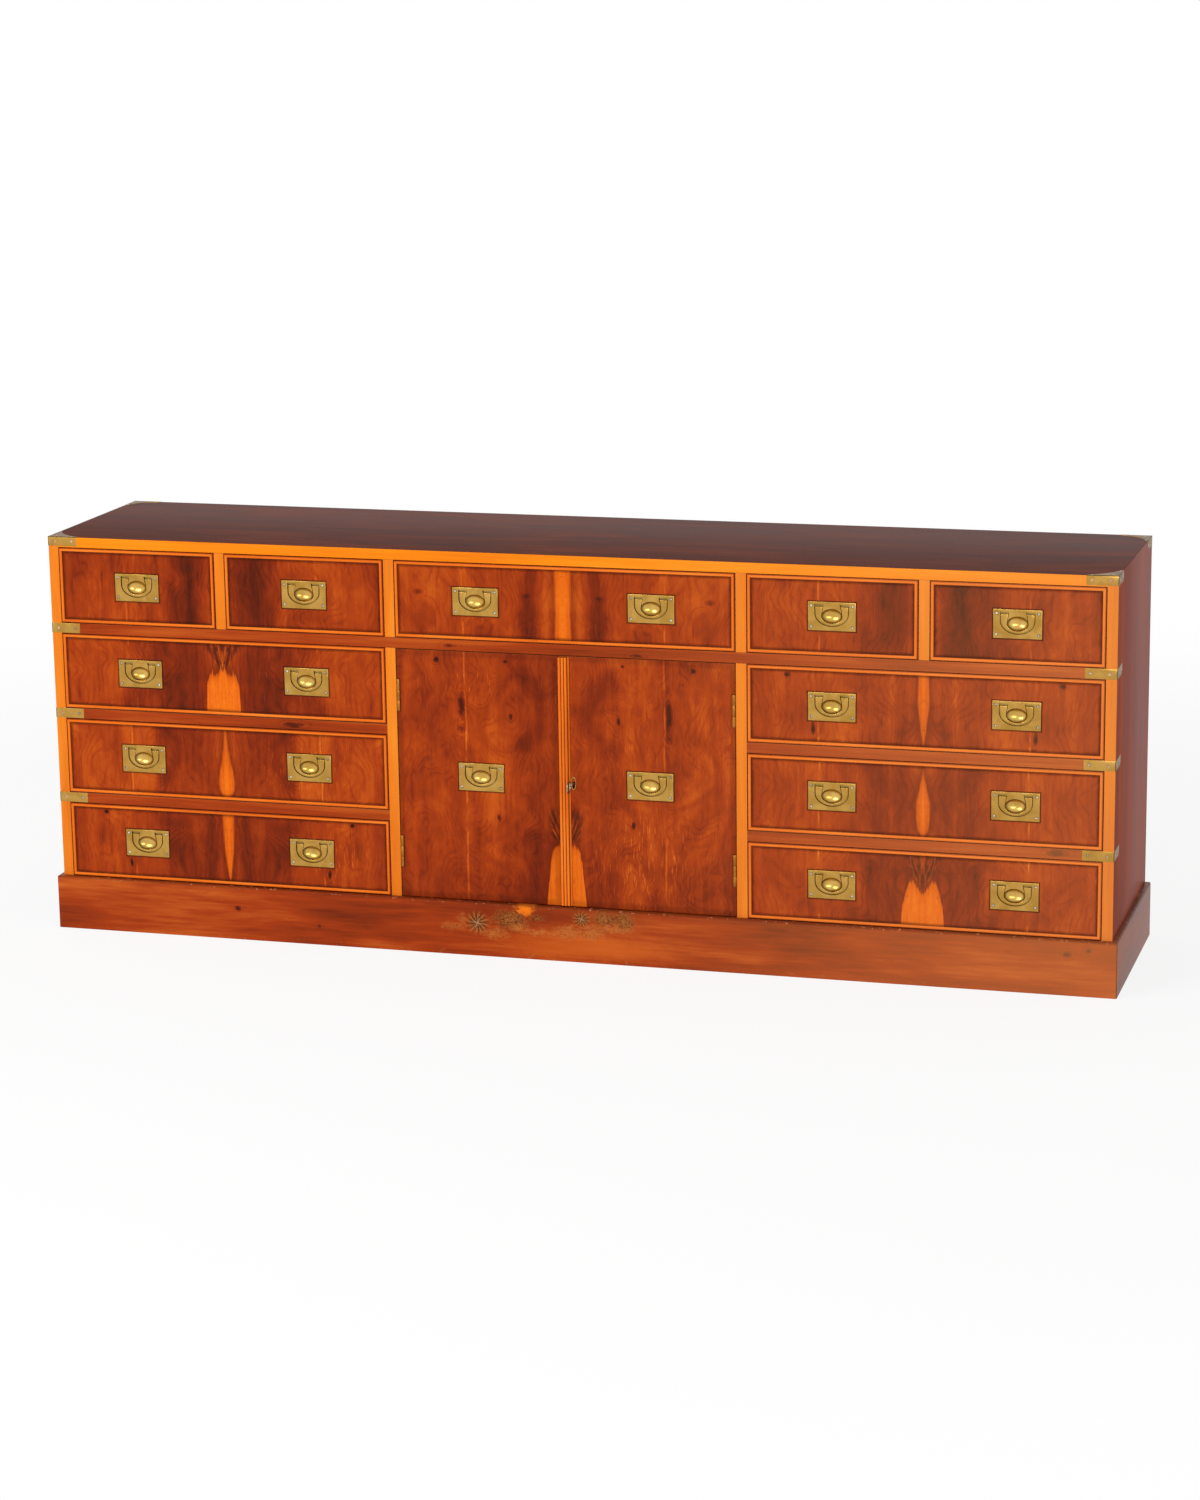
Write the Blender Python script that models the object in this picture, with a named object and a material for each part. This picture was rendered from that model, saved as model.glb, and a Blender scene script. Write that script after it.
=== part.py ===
# Campaign chest: a long, low military chest in yew with sunk brass fittings.
#
# Five drawers run across the top, with three wide drawers at each side below them
# and a cupboard with two doors in the middle. Metres, +Z up, front towards -Y.
# The origin is on the floor under the middle of the whole chest, key included.

from math import cos, pi, sin, sqrt

import bmesh
import bpy
from mathutils import Matrix, Vector

# Case
case_width = 1.850
case_depth = 0.382
case_height = 0.698
board = 0.018
back_thickness = 0.006
back_rebate = 0.009
rail_depth = 0.060

# Plinth
plinth_height = 0.094
plinth_projection = 0.0095
plinth_board = 0.018
plinth_round = 0.003

# Clearances, and how far a cutter runs past what it cuts
gap = 0.0003
overcut = 0.009
drawer_side_gap = 0.0013
drawer_top_gap = 0.0012
drawer_back_gap = 0.026
door_gap = 0.0015
meeting_gap = 0.0012

# Drawers
front_thickness = 0.018
drawer_side = 0.010
drawer_bottom = 0.004
bottom_rise = 0.008
side_drop = 0.014
bead_width = 0.006
bead_proud = 0.0025
bead_round = 0.0022

# Doors, with the reeded strip where they meet
door_thickness = 0.018
strip_width = 0.019
strip_fillet = 0.0028
strip_fillet_proud = 0.0015
strip_end_gap = 0.0015
strip_bed = 0.002
reed_count = 3
reed_base = 0.0030
reed_flank = 0.0026
reed_depth = 0.0025

# Sunk brass handles
plate_width = 0.080
plate_height = 0.048
plate_proud = 0.0008
plate_bed = 0.0034
bail_width = 0.0546
bail_opening = 0.0300
bail_top = 0.0160
bail_shoulder = 0.0045
bail_drop = 0.0155
bail_thickness = 0.0026
bail_round = 0.0012
recess_ease = 0.0005
slot_height = 0.0025
bowl_width = 0.0328
bowl_height = 0.0224
bowl_centre = 0.0004
bowl_depth = 0.0090
bowl_overlap = 0.0004
bed_ratio = 0.85
pin_radius = 0.0008
pin_length = 0.0016
pin_ease = 0.0002

# Butt hinges
hinge_length = 0.055
hinge_inset = 0.052
hinge_radius = 0.0030
hinge_setback = 0.0022
hinge_leaf = 0.0009
hinge_leaf_depth = 0.025
hinge_pin_radius = 0.0012
hinge_pin_ease = 0.00015
hinge_notch_ease = 0.0005
door_leaf_proud = 0.0001

# Brass corners and straps, let in almost flush
brass_leg = 0.052
brass_depth = 0.0010
brass_proud = 0.0003
corner_height = 0.016
corner_tip = 0.004
corner_throat = 0.022
strap_height = 0.017
leg_round = (0.014, 0.010)

# Lock and key
lock_from_centre = 0.0146
lock_height = 0.310
escutcheon_width = 0.0092
escutcheon_height = 0.022
escutcheon_proud = 0.0008
keyhole_radius = 0.0026
lock_pocket_radius = 0.0100
lock_pocket = (0.0085, 0.0145)
key_radius = 0.0020
key_bit = 0.0080
key_thickness = 0.0024
key_reach = 0.040
bow_length = 0.022
bow_height = 0.022
bow_band = 0.0036

# Worked out from the sizes above
half = case_width / 2
front = -(case_depth - key_reach) / 2
back = front + case_depth
inner_back = back - back_thickness - gap
drawer_end = inner_back - drawer_back_gap
bay = (case_width - 4 * board) / 3
small_bay = (bay - board) / 2
row_height = (case_height - plinth_height - 4 * board) / 4
row_low = [plinth_height + row * (row_height + board) for row in range(4)]
top_under = case_height - board
rail_low = row_low[3] - board
strip_half = strip_width / 2
mitre_gap = gap * sqrt(2)
smooth_below = pi / 5

for leftover in list(bpy.data.objects):
    bpy.data.objects.remove(leftover)


def new_collection(name):
    made = bpy.data.collections.new(name)
    bpy.context.scene.collection.children.link(made)
    return made


chest = new_collection("campaign_chest")
cutters = new_collection("cutters")


def material(name, colour, roughness, metallic=0.0):
    made = bpy.data.materials.new(name)
    made.use_nodes = True
    shader = made.node_tree.nodes["Principled BSDF"]
    shader.inputs["Base Color"].default_value = (*colour, 1)
    shader.inputs["Roughness"].default_value = roughness
    shader.inputs["Metallic"].default_value = metallic
    made.diffuse_color = (*colour, 1)
    return made


yew = material("figured_yew", (0.28, 0.055, 0.012), 0.30)
sapwood = material("yew_sapwood", (0.80, 0.28, 0.035), 0.32)
rail_wood = material("yew_rail", (0.34, 0.070, 0.015), 0.32)
side_wood = material("yew_side", (0.20, 0.050, 0.022), 0.30)
top_wood = material("yew_top", (0.16, 0.085, 0.065), 0.22)
plinth_wood = material("yew_plinth", (0.33, 0.075, 0.018), 0.34)
lining = material("drawer_lining", (0.42, 0.25, 0.12), 0.55)
plywood = material("back_plywood", (0.36, 0.20, 0.10), 0.60)
brass = material("aged_brass", (0.62, 0.40, 0.12), 0.28, 1.0)
steel = material("key_steel", (0.45, 0.40, 0.32), 0.35, 1.0)


def new_object(name, bm, materials, pivot=(0, 0, 0), tool=False):
    """An object from a bmesh in world positions, with its origin at pivot."""
    mesh = bpy.data.meshes.new(name)
    bm.to_mesh(mesh)
    bm.free()
    mesh.transform(Matrix.Translation(-Vector(pivot)))
    mesh.shade_smooth()
    mesh.set_sharp_from_angle(angle=smooth_below)
    for each in materials:
        mesh.materials.append(each)
    return place_object(name, mesh, pivot, tool)


def place_object(name, mesh, pivot, tool=False):
    made = bpy.data.objects.new(name, mesh)
    made.location = pivot
    (cutters if tool else chest).objects.link(made)
    if tool:
        made.hide_render = True
        made.display_type = "WIRE"
    return made


def combine(target, tool, operation):
    change = target.modifiers.new(tool.name, "BOOLEAN")
    change.object = tool
    change.operation = operation
    change.material_mode = "TRANSFER"


def baked(source):
    """The mesh of an object with its modifiers worked in. The object is removed."""
    bpy.context.view_layer.update()
    graph = bpy.context.evaluated_depsgraph_get()
    mesh = bpy.data.meshes.new_from_object(source.evaluated_get(graph))
    bpy.data.objects.remove(source)
    return mesh


def add_box(bm, low, high, slot=0):
    low, high = Vector(low), Vector(high)
    place = Matrix.Translation((low + high) / 2) @ Matrix.Diagonal((*(high - low), 1))
    made = bmesh.ops.create_cube(bm, size=1, matrix=place)
    paint(made["verts"], slot)


def add_cylinder(bm, centre, radius, length, axis="Z", sides=12, slot=0):
    turns = {
        "X": Matrix.Rotation(pi / 2, 4, "Y"),
        "Y": Matrix.Rotation(pi / 2, 4, "X"),
        "Z": Matrix.Identity(4),
    }
    made = bmesh.ops.create_cone(
        bm, cap_ends=True, segments=sides, radius1=radius, radius2=radius,
        depth=length, matrix=Matrix.Translation(centre) @ turns[axis])
    paint(made["verts"], slot)


def add_outline(bm, points, low, high, plane="XY", slot=0, hole=None):
    """A flat outline as a filled 2D curve, from low to high across its plane."""
    turns = {
        "XY": Matrix(((1, 0, 0, 0), (0, 1, 0, 0), (0, 0, 1, 0), (0, 0, 0, 1))),
        "XZ": Matrix(((1, 0, 0, 0), (0, 0, -1, 0), (0, 1, 0, 0), (0, 0, 0, 1))),
        "YZ": Matrix(((0, 0, 1, 0), (1, 0, 0, 0), (0, 1, 0, 0), (0, 0, 0, 1))),
    }
    across = {"XY": Vector((0, 0, 1)), "XZ": Vector((0, 1, 0)), "YZ": Vector((1, 0, 0))}
    curve = bpy.data.curves.new("outline", "CURVE")
    curve.dimensions = "2D"
    curve.fill_mode = "BOTH"
    curve.extrude = (high - low) / 2
    for ring in [points] + ([hole] if hole else []):
        spline = curve.splines.new("POLY")
        spline.points.add(len(ring) - 1)
        for point, (u, v) in zip(spline.points, ring):
            point.co = (u, v, 0, 1)
        spline.use_cyclic_u = True
    holder = bpy.data.objects.new("outline", curve)
    chest.objects.link(holder)
    mesh = baked(holder)
    bpy.data.curves.remove(curve)
    mesh.transform(Matrix.Translation(across[plane] * (low + high) / 2) @ turns[plane])
    before = set(bm.verts)
    bm.from_mesh(mesh)
    bpy.data.meshes.remove(mesh)
    fresh = [vert for vert in bm.verts if vert not in before]
    bmesh.ops.remove_doubles(bm, verts=fresh, dist=0.00001)
    fresh = [vert for vert in bm.verts if vert not in before]
    paint(fresh, slot)


def paint(verts, slot):
    for face in {face for vert in verts for face in vert.link_faces}:
        face.material_index = slot


def arc(centre, radii, start, end, steps):
    """Points along part of an ellipse, from one angle to another in radians."""
    angles = [start + (end - start) * step / steps for step in range(steps + 1)]
    return [(centre[0] + radii[0] * cos(t), centre[1] + radii[1] * sin(t)) for t in angles]


def ellipse(centre, radii, sides):
    return arc(centre, radii, 0, 2 * pi * (sides - 1) / sides, sides - 1)


def round_edges(bm, wanted, width, segments):
    edges = [edge for edge in bm.edges if wanted(*[vert.co for vert in edge.verts])]
    bmesh.ops.bevel(bm, geom=edges, offset=width, segments=segments, profile=0.5, affect="EDGES")


def near(value, other):
    return abs(value - other) < 0.00001


def box_object(name, low, high, finish):
    bm = bmesh.new()
    add_box(bm, low, high)
    return new_object(name, bm, [finish])


def outline_object(name, points, low, high, plane, finish):
    bm = bmesh.new()
    add_outline(bm, points, low, high, plane)
    return new_object(name, bm, [finish])


# The pieces of the case

def bay_low(bay_number):
    """Left limit of one of the three bays between the uprights."""
    return -half + board + bay_number * (bay + board)


def cut_back_rebate(*boards):
    """The rebate that the back panel drops into."""
    bm = bmesh.new()
    reach = half - board + back_rebate
    low = (-reach, back - back_thickness - gap, plinth_height - board)
    add_box(bm, low, (reach, back + overcut, top_under + back_rebate))
    tool = new_object("back_rebate_cut", bm, [side_wood], tool=True)
    for each in boards:
        combine(each, tool, "DIFFERENCE")


def top_panel():
    """The top, mitred to the sides at both ends."""
    ends = [(-half, case_height), (-half + board, top_under),
            (half - board, top_under), (half, case_height)]
    bm = bmesh.new()
    add_outline(bm, ends, front, back, "XZ")
    bm.normal_update()
    for face in bm.faces:
        if near(face.calc_center_median().y, front):
            face.material_index = 1
    return new_object("top_panel", bm, [top_wood, sapwood])


def side_panel(name, side):
    """A side, mitred at the top, with its front edge in sapwood and three brass straps."""
    low = plinth_height + gap
    shape = [(side * half, low), (side * half, case_height - mitre_gap),
             (side * (half - board), top_under - mitre_gap), (side * (half - board), low)]
    bm = bmesh.new()
    add_outline(bm, shape, front, back, "XZ")
    for face in bm.faces:
        if near(face.calc_center_median().y, front):
            face.material_index = 1
    panel = new_object(name, bm, [side_wood, sapwood])
    for number, height in enumerate(row_low[1:]):
        middle = height - board / 2
        for leg in strap_legs(f"{name}_strap_{number + 1}", side, middle):
            combine(panel, leg, "UNION")
    return panel


def leg_outline(top, height, proud, reach):
    """A brass leg on a side face: its lower far corner is rounded off."""
    start = front - proud
    low = top - height
    end = front + reach
    corner = arc((end - leg_round[0], low + leg_round[1]), leg_round, -pi / 2, 0, 3)
    return [(start, top), (start, low)] + corner + [(end, top)]


def strap_legs(name, side, middle):
    """A strap that wraps the front edge at a rail: one leg in front, one on the side."""
    low = middle - strap_height / 2
    high = middle + strap_height / 2
    outer = side * (half + brass_proud)
    inner = side * (half - brass_depth)
    bm = bmesh.new()
    xs = sorted((outer, side * (half - brass_leg)))
    add_box(bm, (xs[0], front - brass_proud, low), (xs[1], front + brass_depth, high))
    front_leg = new_object(f"{name}_front", bm, [brass], tool=True)
    bm = bmesh.new()
    shape = leg_outline(high, strap_height, brass_proud, brass_leg)
    add_outline(bm, shape, min(outer, inner), max(outer, inner), "YZ")
    return front_leg, new_object(f"{name}_side", bm, [brass], tool=True)


def strap_bed(name, side, middle):
    """The shallow bed for a strap's front leg in the end of a rail."""
    bm = bmesh.new()
    xs = sorted((side * (half - board + gap), side * (half - brass_leg - gap)))
    low = (xs[0], front - overcut, middle - board)
    add_box(bm, low, (xs[1], front + brass_depth + gap, middle + board))
    return new_object(name, bm, [rail_wood], tool=True)


def carcase():
    panel = top_panel()
    left = side_panel("side_left", -1)
    right = side_panel("side_right", 1)
    cut_back_rebate(panel, left, right)

    low_x = half + plinth_projection - plinth_board - gap
    box_object(
        "bottom_board",
        (-low_x, front - plinth_projection + plinth_board + gap, plinth_height - board),
        (low_x, back - plinth_board - gap, plinth_height), lining)

    reach = half - board + back_rebate - gap
    rear = box_object(
        "back_panel", (-reach, back - back_thickness, plinth_height + gap),
        (reach, back, top_under + back_rebate - gap), plywood)

    for name, number in (("partition_left", 1), ("partition_right", 2)):
        high_x = bay_low(number)
        partition(name, high_x - board, high_x)
    for name, number in (("top_divider_left", 0), ("top_divider_right", 2)):
        low_x = bay_low(number) + small_bay
        box_object(
            name, (low_x, front, row_low[3] + gap), (low_x + board, inner_back, top_under - gap),
            sapwood)
    upper_rail()
    for name, number, side in (("left", 0, -1), ("right", 2, 1)):
        for level, height in (("lower", row_low[1]), ("upper", row_low[2])):
            bank_rail(f"{name}_rail_{level}", number, height, side)
    return panel, left, right, rear


def partition(name, low_x, high_x):
    """An upright with a notch in its front edge where the upper rail passes."""
    notch_low = rail_low - gap
    notch_high = rail_low + board + gap
    notch_back = front + rail_depth + gap
    shape = [(front, plinth_height + gap), (inner_back, plinth_height + gap),
             (inner_back, top_under - gap), (front, top_under - gap),
             (front, notch_high), (notch_back, notch_high),
             (notch_back, notch_low), (front, notch_low)]
    return outline_object(name, shape, low_x, high_x, "YZ", sapwood)


def upper_rail():
    """The rail under the top drawers: full width in front, three dust boards behind."""
    reach = half - board - gap
    shoulder = front + rail_depth
    shape = [(-reach, front), (reach, front), (reach, inner_back)]
    for number in (2, 1):
        slot_right = bay_low(number) + gap
        slot_left = bay_low(number) - board - gap
        shape += [(slot_right, inner_back), (slot_right, shoulder),
                  (slot_left, shoulder), (slot_left, inner_back)]
    shape.append((-reach, inner_back))
    rail = outline_object("upper_rail", shape, rail_low, rail_low + board, "XY", rail_wood)
    for side in (-1, 1):
        bed = strap_bed(f"upper_rail_bed_{side}", side, rail_low + board / 2)
        combine(rail, bed, "DIFFERENCE")


def bank_rail(name, number, row, side):
    """A rail between two drawers of a bank, with its dust board in one piece."""
    low_x = bay_low(number) + gap
    rail = box_object(
        name, (low_x, front, row - board), (low_x + bay - 2 * gap, inner_back, row), rail_wood)
    bed = strap_bed(f"{name}_bed", side, row - board / 2)
    combine(rail, bed, "DIFFERENCE")


def plinth():
    """Four boards round the foot, mitred at the front corners."""
    out_x = half + plinth_projection
    out_y = front - plinth_projection
    in_x = out_x - plinth_board
    in_y = out_y + plinth_board
    block_low = (-out_x, out_y, 0)
    block_high = (out_x, back, plinth_height)
    far_x = out_x + overcut
    far_y = out_y - overcut
    front_shape = [(-far_x + mitre_gap, far_y), (far_x - mitre_gap, far_y),
                   (in_x - mitre_gap, in_y), (-in_x + mitre_gap, in_y)]
    side_shape = [(far_x, far_y), (far_x, back + overcut), (in_x, back + overcut), (in_x, in_y)]
    plinth_piece("plinth_front", block_low, block_high, front_shape)
    plinth_piece("plinth_right", block_low, block_high, side_shape)
    plinth_piece("plinth_left", block_low, block_high, [(-x, y) for x, y in side_shape])
    reach = in_x - gap
    box_object(
        "plinth_back", (-reach, back - plinth_board, 0), (reach, back, plinth_height), plinth_wood)


def plinth_piece(name, low, high, shape):
    """One board: the part of a rounded block that lies inside the shape."""
    bm = bmesh.new()
    add_box(bm, low, high)

    def outer(one, other):
        in_front = near(one.y, low[1]) and near(other.y, low[1])
        at_end = near(one.x, other.x) and near(one.z, high[2]) and near(other.z, high[2])
        return (in_front and not near(one.z + other.z, 0)) or at_end

    round_edges(bm, outer, plinth_round, 2)
    made = new_object(name, bm, [plinth_wood])
    bm = bmesh.new()
    add_outline(bm, shape, -overcut, high[2] + overcut, "XY")
    combine(made, new_object(f"{name}_shape", bm, [plinth_wood], tool=True), "INTERSECT")


# Brass corners on the top

def corner_top_leg(side_x, side_y, proud, ease):
    """The three-cornered leg on the top, its inner edge a hollow curve."""
    leg = brass_leg + ease
    tip = corner_tip + ease
    throat = corner_throat + ease
    reach = (leg ** 2 + tip ** 2 - 2 * throat ** 2) / (2 * (leg + tip) - 4 * throat)
    radius = sqrt(2) * (reach - throat)
    from_tip = pi + angle_of(reach - leg, reach - tip)
    to_tip = pi + angle_of(reach - tip, reach - leg)
    hollow = arc((reach, reach), (radius, radius), from_tip, to_tip, 5)
    shape = [(-proud, -proud), (leg, -proud)] + hollow + [(-proud, leg)]
    middle = (front + back) / 2
    return [(side_x * (half - u), middle + side_y * (case_depth / 2 - v)) for u, v in shape]


def angle_of(across, up):
    """The angle whose tangent is up / across, both above zero."""
    return Vector((1, 0)).angle(Vector((across, up)))


def corner_bracket(name, side_x, side_y, proud, depth, ease, tool):
    """A three-way brass corner: a leg on the top, one on the long face, one on the end."""
    middle = (front + back) / 2
    face_y = side_y * case_depth / 2
    top = case_height + proud
    low = case_height - corner_height - ease
    leg = brass_leg + ease

    bm = bmesh.new()
    add_outline(bm, corner_top_leg(side_x, side_y, proud, ease), case_height - depth, top, "XY")
    bracket = new_object(name, bm, [brass], tool=tool)

    bm = bmesh.new()
    xs = sorted((side_x * (half + proud), side_x * (half - leg)))
    ys = sorted((middle + face_y + side_y * proud, middle + face_y - side_y * depth))
    add_box(bm, (xs[0], ys[0], low), (xs[1], ys[1], top))
    long_leg = new_object(f"{name}_long_leg", bm, [brass], tool=True)

    bm = bmesh.new()
    shape = leg_outline(top, corner_height + ease + proud, proud, leg)
    shape = [(middle + side_y * (middle - y), z) for y, z in shape]
    xs = sorted((side_x * (half + proud), side_x * (half - depth)))
    add_outline(bm, shape, xs[0], xs[1], "YZ")
    end_leg = new_object(f"{name}_end_leg", bm, [brass], tool=True)

    combine(bracket, long_leg, "UNION")
    combine(bracket, end_leg, "UNION")
    return bracket


def brass_corners(panel, left, right, rear):
    """The four corners, each let into the boards that it covers."""
    for name, side_x, side_y, beds in (
            ("corner_front_left", -1, -1, (panel, left)),
            ("corner_front_right", 1, -1, (panel, right)),
            ("corner_back_left", -1, 1, (panel, left, rear)),
            ("corner_back_right", 1, 1, (panel, right, rear))):
        corner_bracket(name, side_x, side_y, brass_proud, brass_depth, 0, False)
        bed = corner_bracket(
            f"{name}_bed", side_x, side_y, overcut, brass_depth + gap, gap, True)
        for each in beds:
            combine(each, bed, "DIFFERENCE")


# Handles

def bail_outline(ease=0.0, slot=0.0, fill=1.0):
    """The bail seen from the front, about the plate's centre, square at the shoulders.

    Ease widens it for its bed, slot adds the finger slot above the arms, and fill under 1
    carries the bed's inner edge out into the bowl.
    """
    outer = bail_width / 2 + ease
    opening = bail_opening / 2 - ease
    top = bail_top + ease + slot
    lower = arc((0, bail_shoulder), (outer, bail_shoulder + bail_drop + ease), pi, 2 * pi, 10)
    bowl = (bowl_width / 2 * fill, bowl_height / 2 * fill)
    upper = arc((0, bowl_centre), bowl, 0, -pi, 8)
    return [(-outer, top)] + lower + [(outer, top), (opening, top)] + upper + [(-opening, top)]


bail_axis_z = bail_top - bail_thickness / 2
bail_axis_y = -plate_proud + bail_thickness / 2


def bail_mesh():
    """One bail about its own axis, its shoulders rounded so that they can turn."""
    bm = bmesh.new()
    shape = [(x, z - bail_axis_z) for x, z in bail_outline()]
    add_outline(bm, shape, -bail_thickness / 2, bail_thickness / 2, "XZ")
    top = bail_top - bail_axis_z

    def shoulder(one, other):
        return near(one.z, top) and near(other.z, top) and near(one.y, other.y)

    round_edges(bm, shoulder, bail_round, 2)
    bail = new_object("bail_blank", bm, [brass])
    bm = bmesh.new()
    inside = pin_length
    for side in (-1, 1):
        middle = side * (bail_width / 2 + (pin_length - inside) / 2)
        add_cylinder(bm, (middle, 0, 0), pin_radius, pin_length + inside, "X", 8)
    pins = new_object("bail_pins", bm, [brass], tool=True)
    combine(bail, pins, "UNION")
    mesh = baked(bail)
    bpy.data.objects.remove(pins)
    return mesh


def plate_mesh():
    bm = bmesh.new()
    reach = (plate_width / 2, plate_height / 2)
    add_box(bm, (-reach[0], -plate_proud, -reach[1]), (reach[0], plate_bed, reach[1]))
    mesh = bpy.data.meshes.new("handle_plate")
    bm.to_mesh(mesh)
    bm.free()
    mesh.materials.append(brass)
    return mesh


def pocket_mesh():
    """What is cut from a plate: the bail's bed with its pin holes, and the finger bowl."""
    face = -plate_proud
    floor = face + bail_thickness + gap
    bm = bmesh.new()
    shape = bail_outline(recess_ease, slot_height, bed_ratio)
    add_outline(bm, shape, face - bail_thickness, floor, "XZ")
    bed = new_object("bail_bed", bm, [brass], tool=True)
    bm = bmesh.new()
    hole = pin_radius + pin_ease
    for side in (-1, 1):
        xs = sorted((side * bail_width / 2, side * (bail_width / 2 + pin_length + pin_ease)))
        low = (xs[0], bail_axis_y - hole, bail_axis_z - hole)
        add_box(bm, low, (xs[1], floor, bail_axis_z + hole))
    holes = new_object("pin_holes", bm, [brass], tool=True)
    bm = bmesh.new()
    bmesh.ops.create_uvsphere(
        bm, u_segments=12, v_segments=8, radius=1,
        matrix=Matrix.Translation((0, face - bowl_overlap, bowl_centre))
        @ Matrix.Diagonal((bowl_width / 2, bowl_depth, bowl_height / 2, 1))
        @ Matrix.Rotation(pi / 2, 4, "X"))
    bowl = new_object("finger_bowl", bm, [brass], tool=True)
    combine(bed, holes, "UNION")
    combine(bed, bowl, "UNION")
    mesh = baked(bed)
    bpy.data.objects.remove(holes)
    bpy.data.objects.remove(bowl)
    return mesh


shared_bail = bail_mesh()
shared_plate = plate_mesh()
shared_pocket = pocket_mesh()


def fit_handle(carrier, name, x, z):
    """Let a plate into the carrier's face, cut its bed and hang its bail there."""
    plate = place_object(f"{name}_plate", shared_plate, (x, front, z), tool=True)
    pocket = place_object(f"{name}_pocket", shared_pocket, (x, front, z), tool=True)
    combine(carrier, plate, "UNION")
    combine(carrier, pocket, "DIFFERENCE")
    place_object(name, shared_bail, (x, front + bail_axis_y, z + bail_axis_z))


# Drawers

def drawer(name, low_x, high_x, row, handles):
    """A drawer in the opening from low_x to high_x. Its front has a cock bead all round."""
    floor = row_low[row]
    middle = (low_x + high_x) / 2
    bm = bmesh.new()
    add_box(
        bm, (low_x + drawer_side_gap, front - bead_proud, floor + drawer_top_gap),
        (high_x - drawer_side_gap, front + front_thickness, floor + row_height - drawer_top_gap))
    field = min(bm.faces, key=lambda face: face.calc_center_median().y)
    ring = bmesh.ops.inset_region(bm, faces=[field], thickness=bead_width, use_even_offset=True)
    for face in ring["faces"]:
        face.material_index = 1
    sunk = bmesh.ops.extrude_discrete_faces(bm, faces=[field])["faces"][0]
    walls = {face for edge in sunk.edges for face in edge.link_faces} - {sunk}
    for face in walls:
        face.material_index = 1
    bmesh.ops.translate(bm, verts=sunk.verts, vec=(0, bead_proud, 0))
    rim = front - bead_proud
    round_edges(bm, lambda one, other: near(one.y, rim) and near(other.y, rim)
                and (near(one.x, other.x) or near(one.z, other.z)), bead_round, 2)
    made = new_object(name, bm, [yew, sapwood], pivot=(middle, front, floor))
    add_drawer_box(made, name, low_x, high_x, floor)
    for suffix, x in handles:
        fit_handle(made, f"bail_{name.replace('drawer_', '')}{suffix}", x, floor + row_height / 2)
    return made


def add_drawer_box(drawer_front, name, low_x, high_x, floor):
    """The box behind a front: sides, back, and a bottom that slides in under the back."""
    left = low_x + drawer_side_gap
    right = high_x - drawer_side_gap
    inside = front + front_thickness
    low = floor + gap
    high = floor + row_height - side_drop
    under = low + bottom_rise
    bm = bmesh.new()
    add_box(bm, (left, inside - drawer_bottom, low), (right, drawer_end, high))
    tray = new_object(f"{name}_tray", bm, [lining], tool=True)
    bm = bmesh.new()
    add_box(
        bm, (left + drawer_side, inside, under + drawer_bottom),
        (right - drawer_side, drawer_end - drawer_side, high + overcut))
    add_box(
        bm, (left + drawer_side, inside, low - overcut),
        (right - drawer_side, drawer_end + overcut, under))
    hollow = new_object(f"{name}_hollow", bm, [lining], tool=True)
    combine(drawer_front, tray, "UNION")
    combine(drawer_front, hollow, "DIFFERENCE")


def drawers():
    left, right = bay_low(0), bay_low(2)
    second = small_bay + board
    columns = [left + small_bay / 2, left + second + small_bay / 2]
    spread = second / 2
    drawer("drawer_top_1", left, left + small_bay, 3, [("", columns[0])])
    drawer("drawer_top_2", left + second, left + bay, 3, [("", columns[1])])
    drawer("drawer_top_3", bay_low(1), bay_low(1) + bay, 3,
           [("_left", -spread), ("_right", spread)])
    drawer("drawer_top_4", right, right + small_bay, 3, [("", -columns[1])])
    drawer("drawer_top_5", right + second, right + bay, 3, [("", -columns[0])])
    for number, row in enumerate((2, 1, 0)):
        drawer(f"drawer_left_{number + 1}", left, left + bay, row,
               [("_left", columns[0]), ("_right", columns[1])])
        drawer(f"drawer_right_{number + 1}", right, right + bay, row,
               [("_left", -columns[1]), ("_right", -columns[0])])


# Doors, hinges and key

door_low = plinth_height + door_gap
door_high = rail_low - door_gap
door_edge = bay / 2 - door_gap
hinge_x = door_edge - hinge_setback
hinge_lows = (door_low + hinge_inset, door_high - hinge_inset - hinge_length)
knuckle = hinge_length / 3


def door(name, side):
    """A door hinged at the outer edge. The right one carries the reeded strip and the lock."""
    inner = -strip_half if side > 0 else strip_half + meeting_gap
    xs = sorted((side * door_edge, side * inner))
    bm = bmesh.new()
    add_box(bm, (xs[0], front, door_low), (xs[1], front + door_thickness, door_high))
    made = new_object(name, bm, [yew], pivot=(side * hinge_x, front, door_low))
    fit_hinge_leaves(made, name, side)
    if side > 0:
        add_strip(made)
        add_lock(made)
    fit_handle(made, f"bail_{name}", side * bay / 4, (door_low + door_high) / 2)


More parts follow.
